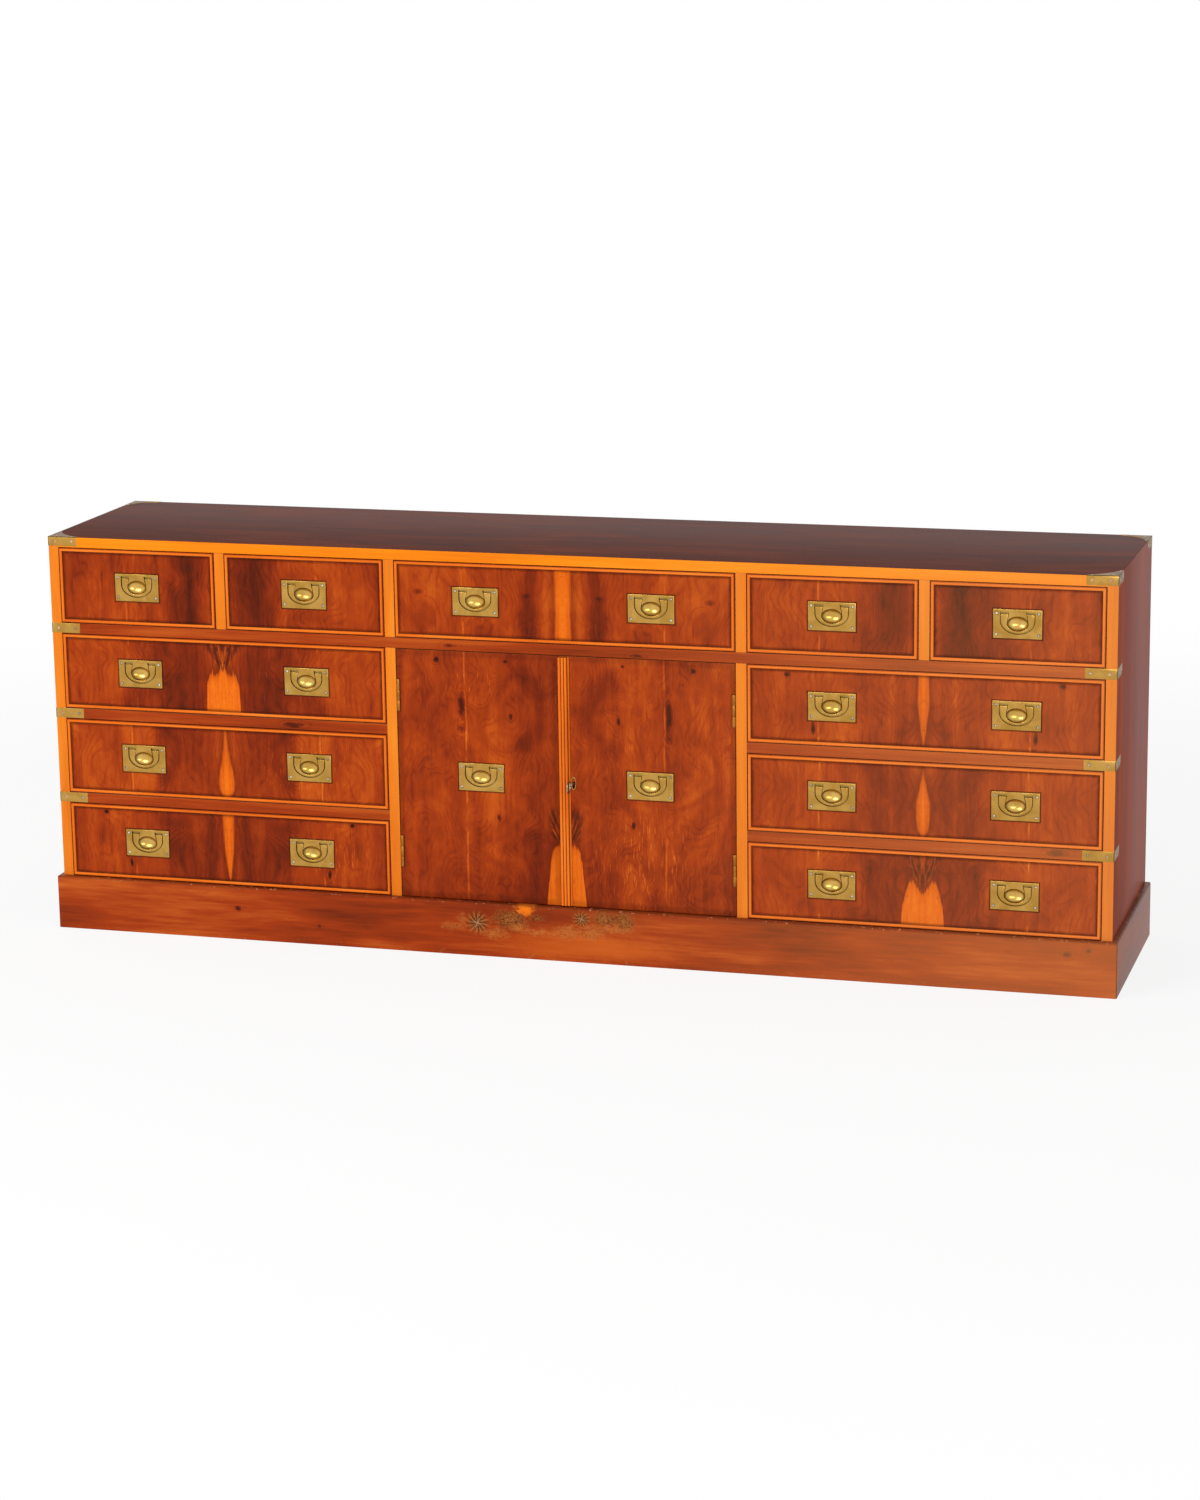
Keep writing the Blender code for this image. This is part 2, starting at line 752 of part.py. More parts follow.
def fit_hinge_leaves(made, name, side):
    axis = (side * hinge_x, front)
    knuckles, notches, bores = bmesh.new(), bmesh.new(), bmesh.new()
    for low in hinge_lows:
        middle = low + hinge_length / 2
        add_cylinder(knuckles, (*axis, middle), hinge_radius, knuckle - 2 * gap)
        xs = sorted((side * (door_edge + door_leaf_proud), side * (door_edge - hinge_leaf)))
        add_box(
            knuckles, (xs[0], front + hinge_radius + gap, low),
            (xs[1], front + door_thickness - hinge_radius, low + hinge_length))
        for centre in (low + knuckle / 2, low + hinge_length - knuckle / 2):
            add_cylinder(
                notches, (*axis, centre), hinge_radius + hinge_notch_ease, knuckle + 2 * gap)
        add_cylinder(
            bores, (*axis, middle), hinge_pin_radius + hinge_pin_ease, knuckle + 4 * gap)
    for label, bm, operation in (
            ("leaves", knuckles, "UNION"), ("notches", notches, "DIFFERENCE"),
            ("bores", bores, "DIFFERENCE")):
        finish = yew if label == "notches" else brass
        tool = new_object(f"{name}_hinge_{label}", bm, [finish], tool=True)
        combine(made, tool, operation)


def hinge(name, side, low):
    """The leaf on the partition, with two knuckles and the pin."""
    inner = side * (bay / 2 - gap)
    outer = side * (bay / 2 - gap - hinge_leaf)
    axis = (side * hinge_x, front)
    xs = sorted((inner, outer))
    bm = bmesh.new()
    add_box(bm, (xs[0], front, low), (xs[1], front + hinge_leaf_depth, low + hinge_length))
    leaf = new_object(name, bm, [brass])
    bm = bmesh.new()
    for centre in (low + knuckle / 2, low + hinge_length - knuckle / 2):
        add_cylinder(bm, (*axis, centre), hinge_radius, knuckle - 2 * gap)
    knuckles = new_object(f"{name}_knuckles", bm, [brass], tool=True)
    bm = bmesh.new()
    add_cylinder(
        bm, (*axis, low + hinge_length / 2), hinge_pin_radius, knuckle + 4 * hinge_pin_radius)
    pin = new_object(f"{name}_pin", bm, [brass], tool=True)
    bm = bmesh.new()
    add_cylinder(
        bm, (*axis, low + hinge_length / 2), hinge_radius + hinge_notch_ease, knuckle + 2 * gap)
    notch = new_object(f"{name}_notch", bm, [brass], tool=True)
    combine(leaf, notch, "DIFFERENCE")
    combine(leaf, knuckles, "UNION")
    combine(leaf, pin, "UNION")


def add_strip(right_door):
    """Three reeds and a flat fillet down the meeting edge."""
    reed = (strip_width - strip_fillet) / reed_count / 2
    shape = [(-strip_half, front + strip_bed), (-strip_half, front - reed_flank)]
    for number in range(reed_count):
        centre = (-strip_half + reed * (2 * number + 1), front - reed_base)
        shape += arc(centre, (reed, reed_depth), pi, 2 * pi, 4)[1:]
    end = -strip_half + 2 * reed * reed_count
    shape[-1] = (end, front - reed_flank)
    shape += [(end, front - strip_fillet_proud), (strip_half, front - strip_fillet_proud),
              (strip_half, front + strip_bed)]
    bm = bmesh.new()
    add_outline(bm, shape, door_low + strip_end_gap, door_high - strip_end_gap, "XY")
    tool = new_object("meeting_strip", bm, [sapwood], tool=True)
    combine(right_door, tool, "UNION")


def add_lock(right_door):
    """An oval escutcheon, the keyhole through it and the lock's pocket behind."""
    ring = (escutcheon_width / 2, escutcheon_height / 2)
    bm = bmesh.new()
    shape = ellipse((lock_from_centre, lock_height), ring, 16)
    add_outline(bm, shape, front - escutcheon_proud, front + plate_bed, "XZ")
    plate = new_object("escutcheon", bm, [brass], tool=True)
    bm = bmesh.new()
    depth = sum(lock_pocket) / 2
    add_cylinder(
        bm, (lock_from_centre, front + depth, lock_height), lock_pocket_radius,
        lock_pocket[1] - lock_pocket[0], "Y", 16)
    pocket = new_object("lock_pocket", bm, [steel], tool=True)
    bm = bmesh.new()
    end = front + depth
    start = front - 2 * escutcheon_proud
    add_cylinder(
        bm, (lock_from_centre, (start + end) / 2, lock_height), keyhole_radius, end - start,
        "Y", 12)
    bore = new_object("keyhole", bm, [steel], tool=True)
    bm = bmesh.new()
    slit = key_thickness / 2 + gap
    add_box(
        bm, (lock_from_centre - slit, start, lock_height - key_bit - 3 * gap),
        (lock_from_centre + slit, end, lock_height))
    slot = new_object("keyhole_slot", bm, [steel], tool=True)
    combine(right_door, plate, "UNION")
    for tool in (pocket, bore, slot):
        combine(right_door, tool, "DIFFERENCE")


def key():
    """The key stands in its lock: a shank, a bit in the pocket and an oval ring for a bow."""
    centre = (lock_from_centre, front, lock_height)
    end = front + lock_pocket[1] - 3 * gap
    bow_end = front - key_reach
    bow_middle = bow_end + bow_length / 2
    start = bow_end + bow_length - bow_band / 2
    bm = bmesh.new()
    add_cylinder(bm, (centre[0], (start + end) / 2, centre[2]), key_radius, end - start, "Y", 10)
    made = new_object("door_key", bm, [steel], pivot=centre)
    outer = (bow_length / 2, bow_height / 2)
    inner = (outer[0] - bow_band, outer[1] - bow_band)
    bm = bmesh.new()
    add_outline(
        bm, ellipse((bow_middle, lock_height), outer, 16), centre[0] - key_thickness / 2,
        centre[0] + key_thickness / 2, "YZ", hole=ellipse((bow_middle, lock_height), inner, 12))
    bow = new_object("key_bow", bm, [steel], tool=True)
    bm = bmesh.new()
    add_box(
        bm, (centre[0] - key_thickness / 2, front + lock_pocket[0] + 3 * gap, lock_height - key_bit),
        (centre[0] + key_thickness / 2, end - 2 * gap, lock_height))
    bit = new_object("key_bit", bm, [steel], tool=True)
    combine(made, bow, "UNION")
    combine(made, bit, "UNION")


boards = carcase()
plinth()
brass_corners(*boards)
drawers()
for door_name, door_side in (("door_left", -1), ("door_right", 1)):
    door(door_name, door_side)
    for position, hinge_low in zip(("lower", "upper"), hinge_lows):
        hinge(f"hinge_{door_name[5:]}_{position}", door_side, hinge_low)
key()
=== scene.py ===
# Looks of a long campaign chest in yew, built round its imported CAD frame
from math import atan2, cos, pi, radians, sin, sqrt

import bmesh
import bpy
from mathutils import Matrix, Vector

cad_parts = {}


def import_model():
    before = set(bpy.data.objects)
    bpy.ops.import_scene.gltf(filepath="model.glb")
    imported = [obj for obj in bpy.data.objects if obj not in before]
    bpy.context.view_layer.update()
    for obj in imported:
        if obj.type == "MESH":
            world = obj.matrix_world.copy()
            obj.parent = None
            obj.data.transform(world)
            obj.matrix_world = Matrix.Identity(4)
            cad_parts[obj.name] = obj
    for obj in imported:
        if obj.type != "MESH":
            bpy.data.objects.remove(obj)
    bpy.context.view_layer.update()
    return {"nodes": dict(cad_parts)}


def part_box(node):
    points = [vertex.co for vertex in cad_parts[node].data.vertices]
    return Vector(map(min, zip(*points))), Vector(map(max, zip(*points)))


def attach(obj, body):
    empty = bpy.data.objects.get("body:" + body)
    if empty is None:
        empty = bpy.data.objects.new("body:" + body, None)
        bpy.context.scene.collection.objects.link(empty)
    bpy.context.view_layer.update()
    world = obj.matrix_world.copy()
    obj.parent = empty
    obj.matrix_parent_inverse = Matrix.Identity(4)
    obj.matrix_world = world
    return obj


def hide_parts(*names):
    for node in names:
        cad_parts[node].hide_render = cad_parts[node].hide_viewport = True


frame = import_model()
box = {name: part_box(name) for name in frame["nodes"]}
scene = bpy.context.scene
mm = 0.001
tiny = 0.01 * mm  # slack for tests on places that should be equal
longEdge = 100 * mm  # edges that run the length of a board are longer than this
throughFront = 10 * mm  # how far a cutting tool stands out before the front
frontSlack = 2 * mm  # how far behind the case's front a face still counts as front

# Lines of the case that everything else is set out from
frontY = box["partition_left"][0].y
backY = box["back_panel"][1].y
caseX = box["top_panel"][1].x
topZ = box["top_panel"][1].z
plinthZ = box["plinth_front"][1].z
boardT = box["partition_left"][1].x - box["partition_left"][0].x
bankMiddle = (box["right_rail_upper"][0].x + box["right_rail_upper"][1].x) / 2
railZ = {
    "upper": (box["upper_rail"][0].z + box["upper_rail"][1].z) / 2,
    "middle": (box["left_rail_upper"][0].z + box["left_rail_upper"][1].z) / 2,
    "lower": (box["left_rail_lower"][0].z + box["left_rail_lower"][1].z) / 2,
}
drawerNames = sorted(name for name in box if name.startswith("drawer_"))
doorNames = ["door_left", "door_right"]
print("frame loaded:", len(box), "nodes")


def rgb(red, green, blue):
    # display values 0 to 255 as the linear colour that a shader wants
    def linear(value):
        value = value / 255
        return value / 12.92 if value <= 0.04045 else ((value + 0.055) / 1.055) ** 2.4

    return (linear(red), linear(green), linear(blue), 1)


# Shader maths

class Wire:
    # a socket that takes part in sums
    def __init__(self, finish, socket):
        self.finish = finish
        self.socket = socket

    def math(self, operation, *others):
        return self.finish.node("Math", {"operation": operation}, dict(enumerate((self, *others))))

    def __add__(self, other):
        return self.math("ADD", other)

    __radd__ = __add__

    def __sub__(self, other):
        return self.math("SUBTRACT", other)

    def __rsub__(self, other):
        return self.finish.node("Math", {"operation": "SUBTRACT"}, {0: other, 1: self})

    def __mul__(self, other):
        return self.math("MULTIPLY", other)

    __rmul__ = __mul__

    def __truediv__(self, other):
        return self.math("DIVIDE", other)

    def __abs__(self):
        return self.math("ABSOLUTE")

    def least(self, other):
        return self.math("MINIMUM", other)

    def most(self, other):
        return self.math("MAXIMUM", other)

    def swing(self, size):
        # a field from 0 to 1 as one from -size/2 to size/2
        return (self - 0.5) * size

    def rise(self, start, end):
        # 0 before start, 1 after end, smooth between
        limits = {"Value": self, "From Min": start, "From Max": end}
        return self.finish.node("MapRange", {"interpolation_type": "SMOOTHSTEP"}, limits)


class Nodes:
    # a node tree in the making
    def __init__(self, tree):
        self.tree = tree

    def feed(self, value, socket):
        # a link from a wire or a socket, or else a plain value
        value = getattr(value, "socket", value)
        if isinstance(value, bpy.types.NodeSocket):
            self.tree.links.new(value, socket)
        else:
            socket.default_value = value

    def put(self, kind, settings=None, inputs=None):
        # one node: its settings first, then the values and links of its sockets
        made = self.tree.nodes.new(kind)
        for key, value in (settings or {}).items():
            if key == "stops":
                setStops(made.color_ramp.elements, value)
            else:
                setattr(made, key, value)
        for key, value in (inputs or {}).items():
            self.feed(value, made.inputs[key])
        return made


def setStops(elements, stops):
    while len(elements) > 1:
        elements.remove(elements[-1])
    elements[0].position, elements[0].color = stops[0]
    for place, colour in stops[1:]:
        elements.new(place).color = colour


class Finish(Nodes):
    # a material in the making
    def __init__(self, name):
        self.material = bpy.data.materials.new(name)
        self.material.use_nodes = True
        super().__init__(self.material.node_tree)
        self.shader = self.tree.nodes["Principled BSDF"]
        self.place = self.node("TexCoord", output="Object")
        split = self.put("ShaderNodeSeparateXYZ", None, {0: self.place})
        self.x, self.y, self.z = [Wire(self, socket) for socket in split.outputs]

    def node(self, kind, settings=None, inputs=None, output=0):
        return Wire(self, self.put("ShaderNode" + kind, settings, inputs).outputs[output])

    def join(self, x, y, z):
        return self.node("CombineXYZ", inputs={"X": x, "Y": y, "Z": z})

    def noise(self, scale, detail=2.0, rough=0.5, warp=0.0, at=None):
        # scale is the number of lumps in a metre along x, y and z
        inputs = {0: at or self.place, 1: scale}
        stretched = self.node("VectorMath", {"operation": "MULTIPLY"}, inputs)
        inputs = {"Vector": stretched, "Scale": 1.0, "Detail": detail, "Roughness": rough,
                  "Distortion": warp}
        return self.node("TexNoise", inputs=inputs)

    def ramp(self, value, stops):
        return self.node("ValToRGB", {"stops": stops}, {"Fac": value})

    def curve(self, value, points):
        # heights along a line, straight between the points
        return self.ramp(value, [(place, (height, height, height, 1)) for place, height in points])

    def mix(self, share, first, second):
        return self.node("Mix", {"data_type": "RGBA"}, {0: share, 6: first, 7: second}, 2)

    def bump(self, height, strength, distance):
        inputs = {"Height": height, "Strength": strength, "Distance": distance}
        return self.node("Bump", inputs=inputs)

    def close(self, **sockets):
        for key, value in sockets.items():
            self.feed(value, self.shader.inputs[key.replace("_", " ")])
        return self.material


def evenStops(*colours):
    return [(number / (len(colours) - 1), rgb(*colour)) for number, colour in enumerate(colours)]


def outward(gapX, gapZ):
    # how far out a place lies, from its gaps along two axes
    return (gapX * gapX + gapZ * gapZ).math("SQRT")


def strongest(masks):
    # the greatest of several masks at each place
    found = masks[0]
    for mask in masks[1:]:
        found = found.most(mask)
    return found


# Lacquer on all the wood; towards the right end the colour is painted paler and whiter, as painted
# light under a veil of painted reflection
varnish = {"gloss": 0.11, "tint": (1.0, 0.60, 0.32, 1), "bleach": rgb(255, 168, 92),
           "bleachAt": (-0.10, 1.00), "solidShare": 0.19, "veneerShare": 0.07,
           "veil": (0.003, 0.010)}

# Yew veneer of the drawers and doors, mirrored about each bank's middle like a book
yewColours = [(0.00, rgb(44, 11, 3)), (0.20, rgb(82, 22, 5)), (0.42, rgb(126, 37, 7)),
              (0.62, rgb(164, 58, 10)), (0.80, rgb(194, 84, 18)), (1.00, rgb(226, 124, 46))]
sapColours = evenStops((178, 66, 6), (228, 104, 12), (250, 138, 30))
# noise fields of a leaf: lumps in a metre across and up, then detail, roughness and warp
leafFields = {
    "broad": (10, 6.5, 3, 0.5, 1.0), "patch": (32, 21, 4, 0.62, 1.6), "streak": (120, 6, 3, 0.6),
    "fine": (760, 40, 3, 0.65), "swirl": (9, 7.5, 2, 0.45, 0.6), "wobble": (42, 20),
    "mottle": (95, 70, 3, 0.6, 0.8), "dashes": (230, 15), "bands": (26, 2.2, 3, 0.55, 0.5),
    "ticks": (620, 44), "wander": (1, 9), "breaks": (60, 24), "fringe": (650, 22),
    "crownTeeth": (560, 5, 2, 0.7), "sideTeeth": (150, 3, 1), "grain": (420, 12),
    "curls": (150, 60, 3, 0.6, 1.5), "pores": (520, 90),
}
veneerLook = {
    "lines": 520, "lineWobble": 8.0, "eyeTurns": 46, "halfWide": 0.3, "sheenWaves": 30,
    "shares": {"broad": 0.40, "bands": 0.44, "patch": 0.24, "streak": 0.16, "mottle": 0.07,
               "fine": 0.15},
    "sheen": 0.045, "lineDark": 0.075, "dashDark": 0.16, "lift": 0.01, "crescentDark": 0.13,
    "lowFade": (0.12, 0.26), "fleckSpot": 0.28, "knotDark": 0.7, "knotDeep": 0.8,
    "dirt": rgb(38, 11, 5), "plateDirt": 0.85, "plateRim": (0.2 * mm, 3.2 * mm),
    "cornerRim": (0.6 * mm, 6.2 * mm), "cornerWander": 4 * mm, "scratch": rgb(196, 120, 74),
    "rough": 0.27, "bump": (0.28, 0.0006),
}
flameLook = {"lean": 0.005, "fringe": 0.0045, "rim": rgb(92, 24, 6), "rimShare": 0.5,
             "chevrons": 1500, "slope": 1.2, "cover": 0.95, "ray": rgb(58, 20, 8),
             "rayShare": 0.80, "thread": rgb(190, 94, 34), "threadShare": 0.55}


def paintedRightHaze(finish, colour, share):
    # painted light: paler towards the right end, under a thin white veil of painted reflection that
    # thickens to the right
    rightward = finish.x.rise(*varnish["bleachAt"])
    colour = finish.mix(rightward * share, colour, varnish["bleach"])
    least, most = varnish["veil"]
    return finish.mix(rightward * (most - least) + least, colour, (1, 1, 1, 1))


knotLook = {"ripple": 1.6, "core": (0.25, 1.0), "ring": (0.9, 2.0), "waves": 9,
            "ringShare": 0.40}


def knotMarks(u, v, knots, ripple):
    # dark cores, and rings that bend round them; u and v run over the face
    marks = []
    for placeU, placeV, radius, stretch, depth in knots:
        away = outward((u - placeU) / radius, (v - placeV) / (radius * stretch))
        away = away + ripple.swing(knotLook["ripple"])
        core = 1 - away.rise(*knotLook["core"])
        ring = (away * knotLook["waves"]).math("SINE").rise(-0.2, 1.0)
        ring = (1 - away.rise(*knotLook["ring"])) * ring * knotLook["ringShare"]
        marks.append(core.most(ring) * depth)
    return strongest(marks)


def plateGrime(finish, plates):
    # dark wax caught round the brass plates
    wide, tall = [size / 2 for size in handleLook["plate"]]
    rims = []
    for plateX, plateZ in plates:
        gapX, gapZ = abs(finish.x - plateX) - wide, abs(finish.z - plateZ) - tall
        rims.append(1 - gapX.most(gapZ).rise(*veneerLook["plateRim"]))
    return strongest(rims)


class Leaf:
    # the book-matched coordinates of a leaf; a field is made when it is first asked for
    def __init__(self, finish, look):
        self.finish = finish
        self.side = abs(finish.x - look["middle"])
        self.place = finish.join(self.side, look["seed"], finish.z)
        self.made = {}

    def field(self, name):
        if name not in self.made:
            across, up, *rest = leafFields[name]
            self.made[name] = self.finish.noise((across, 1, up), *rest, at=self.place)
        return self.made[name]


def leafTone(finish, leaf, look):
    # growth lines: level lines of a slow field, swirling where the look says so
    values = veneerLook
    side, swirl, wobble = leaf.side, leaf.field("swirl"), leaf.field("wobble")
    phase = side * values["lines"] + swirl * look["swirl"] + wobble * values["lineWobble"]
    crescents = []
    for eyeX, eyeZ, reachX, reachZ in look["eyes"]:
        # growth lines bent round a place, with a dark crescent beside it
        gapX, gapZ = (side - eyeX) / reachX, (finish.z - eyeZ) / reachZ
        away = outward(gapX, gapZ) + leaf.field("broad").swing(0.5)
        phase = phase + (1 - away.rise(0.0, 1.6)) * values["eyeTurns"]
        crescents.append(away.rise(0.50, 0.90) * (1 - away.rise(1.0, 1.5))
                         * (1 - gapX.rise(-0.4, 0.6)))
    lines = phase.math("SINE").rise(0.1, 1.0) * wobble.rise(0.36, 0.60)
    # painted sheen: waves of lighter and darker tone that stand in for the shimmer of the polished
    # yew
    sheen = (swirl * look["swirl"] * 0.22 + side * values["sheenWaves"]).math("SINE")
    dashes = leaf.field("dashes").rise(0.64, 0.74) * leaf.field("mottle").rise(0.45, 0.6)
    tone = finish.curve(side / values["halfWide"] + leaf.field("broad").swing(0.12), look["tone"])
    for name, share in values["shares"].items():
        tone = tone + leaf.field(name).swing(share)
    tone = tone + sheen * values["sheen"] - lines * values["lineDark"]
    tone = tone - dashes * values["dashDark"] + look["level"] + values["lift"]
    if crescents:
        tone = tone - strongest(crescents) * values["crescentDark"]
    # painted shade: the doors darker towards their foot
    if look["lowDark"]:
        tone = tone - (1 - finish.z.rise(*values["lowFade"])) * look["lowDark"]
    where = finish.noise((9, 1, 7)).rise(0.50, 0.66) * look["flecks"]
    for spotX, spotZ, reachX, reachZ in look["fleckSpots"]:
        away = outward((finish.x - spotX) / reachX, (finish.z - spotZ) / reachZ)
        away = away + leaf.field("broad").swing(0.8)
        where = where.most((1 - away.rise(0.4, 1.1)) * values["fleckSpot"])
    tone = tone + leaf.field("ticks").rise(0.58, 0.70) * where
    place, width, strength = look["paleLine"]
    line = 1 - abs(side - place + leaf.field("wander").swing(10 * mm)).rise(width * 0.3, width)
    return tone + line * leaf.field("breaks").rise(0.42, 0.58) * strength


def sapFlame(finish, leaf, look, colour):
    # the pale sapwood flame, toothed at its tip
    values, flame, side = flameLook, look["flame"], leaf.side
    lean = finish.noise((4, 1, 12), 1).swing(values["lean"])
    fringe = leaf.field("fringe").swing(values["fringe"])
    if flame["crown"]:
        teeth = leaf.field("crownTeeth").swing(flame["teeth"])
        top = finish.curve(abs(side + lean) / flame["span"], flame["shape"])
        inside = (top * flame["tall"] + flame["low"] + teeth - finish.z) * 0.5 + fringe
        mask = inside.rise(-1.0 * mm, 2.2 * mm)
    else:
        up = finish.z + leaf.field("sideTeeth").swing(flame["teeth"])
        width = finish.curve((up - flame["low"]) / flame["tall"], flame["shape"]) * flame["span"]
        inside = width - abs(side + lean) - 0.6 * mm + fringe
        mask = inside.rise(-1.8 * mm, 2.0 * mm) * width.rise(0.1 * mm, 1.2 * mm)
    rim = inside.rise(-14 * mm, -1 * mm) * (1 - mask)
    colour = finish.mix(rim * values["rimShare"], colour, values["rim"])
    patch = leaf.field("patch")
    pores = leaf.field("pores").rise(0.64, 0.74)
    chevron = ((finish.z - side * values["slope"]) * values["chevrons"] + patch * 26).math("SINE")
    sapTone = leaf.field("grain") * 0.6 + leaf.field("broad").swing(0.5)
    sapTone = sapTone + leaf.field("curls").swing(0.4) + inside.rise(0.0, 12 * mm) * 0.25
    sapTone = sapTone + chevron * 0.05 - pores * 0.35 - 0.02
    colour = finish.mix(mask * values["cover"], colour, finish.ramp(sapTone, sapColours))
    if "feather" not in flame:
        return colour

    # dark rays that fan out of its foot
    base, top, width, opened = flame["feather"]
    rise = (finish.z - base) / (top - base)
    bent = finish.join(side / (rise.most(0.0) + 0.35), look["seed"], finish.z)
    rays = finish.noise((210, 1, 34), 4, 0.62, 0.5, at=bent)
    wide = rise * (1 - opened) + opened
    spread = 1 - (side / width - wide + patch.swing(0.4)).rise(-0.25, 0.15)
    spread = spread * rise.rise(-0.02, 0.15) * (1 - rise.rise(0.80, 1.15))
    dark = spread * rays.rise(0.41, 0.56) * values["rayShare"]
    pale = spread * (0.41 - rays).rise(0.0, 0.05) * values["threadShare"]
    return finish.mix(pale, finish.mix(dark, colour, values["ray"]), values["thread"])


def yewVeneer(name, look):
    finish = Finish(name)
    leaf = Leaf(finish, look)
    tone = leafTone(finish, leaf, look)
    height = leaf.field("fine") * 0.4 + leaf.field("streak") * 0.3
    if look["knots"]:
        knots = knotMarks(leaf.side, finish.z, look["knots"], leaf.field("patch"))
        tone = tone - knots * veneerLook["knotDark"]
        height = height - knots * veneerLook["knotDeep"]
    colour = finish.ramp(tone, yewColours)
    if look["flame"]:
        colour = sapFlame(finish, leaf, look, colour)
        if not look["flame"]["crown"]:
            height = 0.0  # the leaves with a narrow flame are polished smooth
    colour = paintedRightHaze(finish, colour, varnish["veneerShare"])

    # wax and painted shade along the edges of the field, where the bead stands proud of it; dark wax
    # round the plates
    low, high = look["field"]
    edge = (finish.x - low[0]).least(high[0] - finish.x)
    edge = edge.least(finish.z - low[1]).least(high[1] - finish.z)
    uneven = finish.noise((60, 1, 60)).swing(veneerLook["cornerWander"])
    dirt = (1 - (edge + uneven).rise(*veneerLook["cornerRim"])) * look["edgeDirt"]
    dirt = dirt.most(plateGrime(finish, look["plates"]) * veneerLook["plateDirt"])
    colour = finish.mix(dirt, colour, veneerLook["dirt"])
    scratch = finish.noise((700, 1, 16), 2, 0.6, 0.4).rise(0.66, 0.74)
    scratch = scratch * finish.noise((7, 1, 5)).rise(0.50, 0.62)
    scratch = scratch * look["scratches"]
    colour = finish.mix(scratch, colour, veneerLook["scratch"])
    rough = veneerLook["rough"] + leaf.field("patch").swing(0.12) + dirt * 0.25 + scratch * 0.3
    return finish.close(Base_Color=colour, Roughness=rough, Specular_IOR_Level=varnish["gloss"],
                        Specular_Tint=varnish["tint"],
                        Normal=finish.bump(height - scratch * 1.5, *veneerLook["bump"]))


# Burr marks by kind: the share and colour of the dark wash, and the pale threads over it
burrWash = {"curl": (0.95, rgb(72, 28, 11)), "smear": (0.55, rgb(112, 42, 14)),
            "sap": (0.9, rgb(240, 122, 20)), "light": (1.0, rgb(204, 94, 26)),
            "dusk": (1.0, rgb(116, 36, 10))}
burrThreads = {"curl": (1.35, 0.040, 0.006, rgb(198, 118, 50)),
               "smear": (1.30, 0.070, 0.008, rgb(204, 118, 52))}
burrFields = {"push": ((58, 1, 90), 4, 0.80), "curl": ((150, 1, 200), 4, 0.70, 2.2),
              "smear": ((84, 1, 340), 4, 0.75, 1.8)}
burrPush = (50 * mm, 32 * mm)
burrStarColours = {"heart": rgb(62, 24, 10), "spokes": rgb(190, 120, 54),
                   "cross": rgb(224, 190, 156)}


def burrStar(finish, colour, mark, ridges):
    markX, markZ, wide, tall, way, share = mark
    turn = (finish.z - markZ).math("ARCTAN2", finish.x - markX)
    gapX, gapZ = (finish.x - markX) / wide, (finish.z - markZ) / tall
    away = outward(gapX, gapZ)
    spokes = (turn * 12 + ridges * 22 + away * 3).math("SINE").rise(0.0, 0.8)
    spokes = spokes * (1 - away.rise(0.55, 1.25)) * share * 0.8
    cross = abs(gapX * 0.30 - gapZ * 0.12).least(abs(gapX * 0.10 + gapZ * 0.28))
    cross = (1 - cross.rise(0.004, 0.022)) * (1 - away.rise(0.20, 0.60)) * 0.35
    heart = (1 - away.rise(0.30, 1.10)) * share
    for key, cover in (("heart", heart), ("spokes", spokes), ("cross", cross)):
        colour = finish.mix(cover, colour, burrStarColours[key])
    return colour


def burrMarks(finish, colour, burr):
    # knots under the polish: warped ovals, dark at heart, under torn threads of pale wood
    shifted = finish.join(finish.x + 3.1, finish.y, finish.z + 1.7)
    x = finish.x + finish.noise(*burrFields["push"]).swing(burrPush[0])
    z = finish.z + finish.noise(*burrFields["push"], at=shifted).swing(burrPush[1])
    torn = {"curl": abs(finish.noise(*burrFields["curl"]).swing(1)),
            "smear": abs(finish.noise(*burrFields["smear"], at=shifted).swing(1))}
    for mark in burr:
        markX, markZ, wide, tall, way, share = mark
        if way == "star":
            colour = burrStar(finish, colour, mark, torn["curl"])
            continue
        away = outward((x - markX) / wide, (z - markZ) / tall)
        strength, wash = burrWash[way]
        heart = (1 - away.rise(0.35, 1.15)) * share
        colour = finish.mix(heart * strength, colour, wash)
        if way in burrThreads:
            start, fade, soft, thread = burrThreads[way]
            threads = ((start - away) * fade - torn[way]).rise(0.0, soft)
            colour = finish.mix(threads * share * 0.8, colour, thread)
    return colour


# what a solid yew finish has unless it says otherwise
yewBase = {"grain": "x", "lying": False, "spread": 1.0, "streak": 0.5, "fine": 0.25, "warp": 0.3,
           "rough": 0.30, "dirt": 0.3, "gloss": varnish["gloss"], "bleach": varnish["solidShare"],
           "knots": None, "burr": None, "waxed": None, "stained": False, "wornTo": None}
yewLook = {"knotDark": 0.75, "dirt": rgb(50, 18, 9), "wax": rgb(56, 18, 7), "waxShare": 0.85,
           "beadOuter": rgb(132, 38, 8), "beadInner": rgb(84, 26, 8), "chip": rgb(168, 104, 58),
           "rub": rgb(64, 22, 8), "edgeChip": rgb(214, 150, 112), "edgeDeep": (4.5 * mm, 1 * mm),
           "bump": (0.22, 0.0006)}


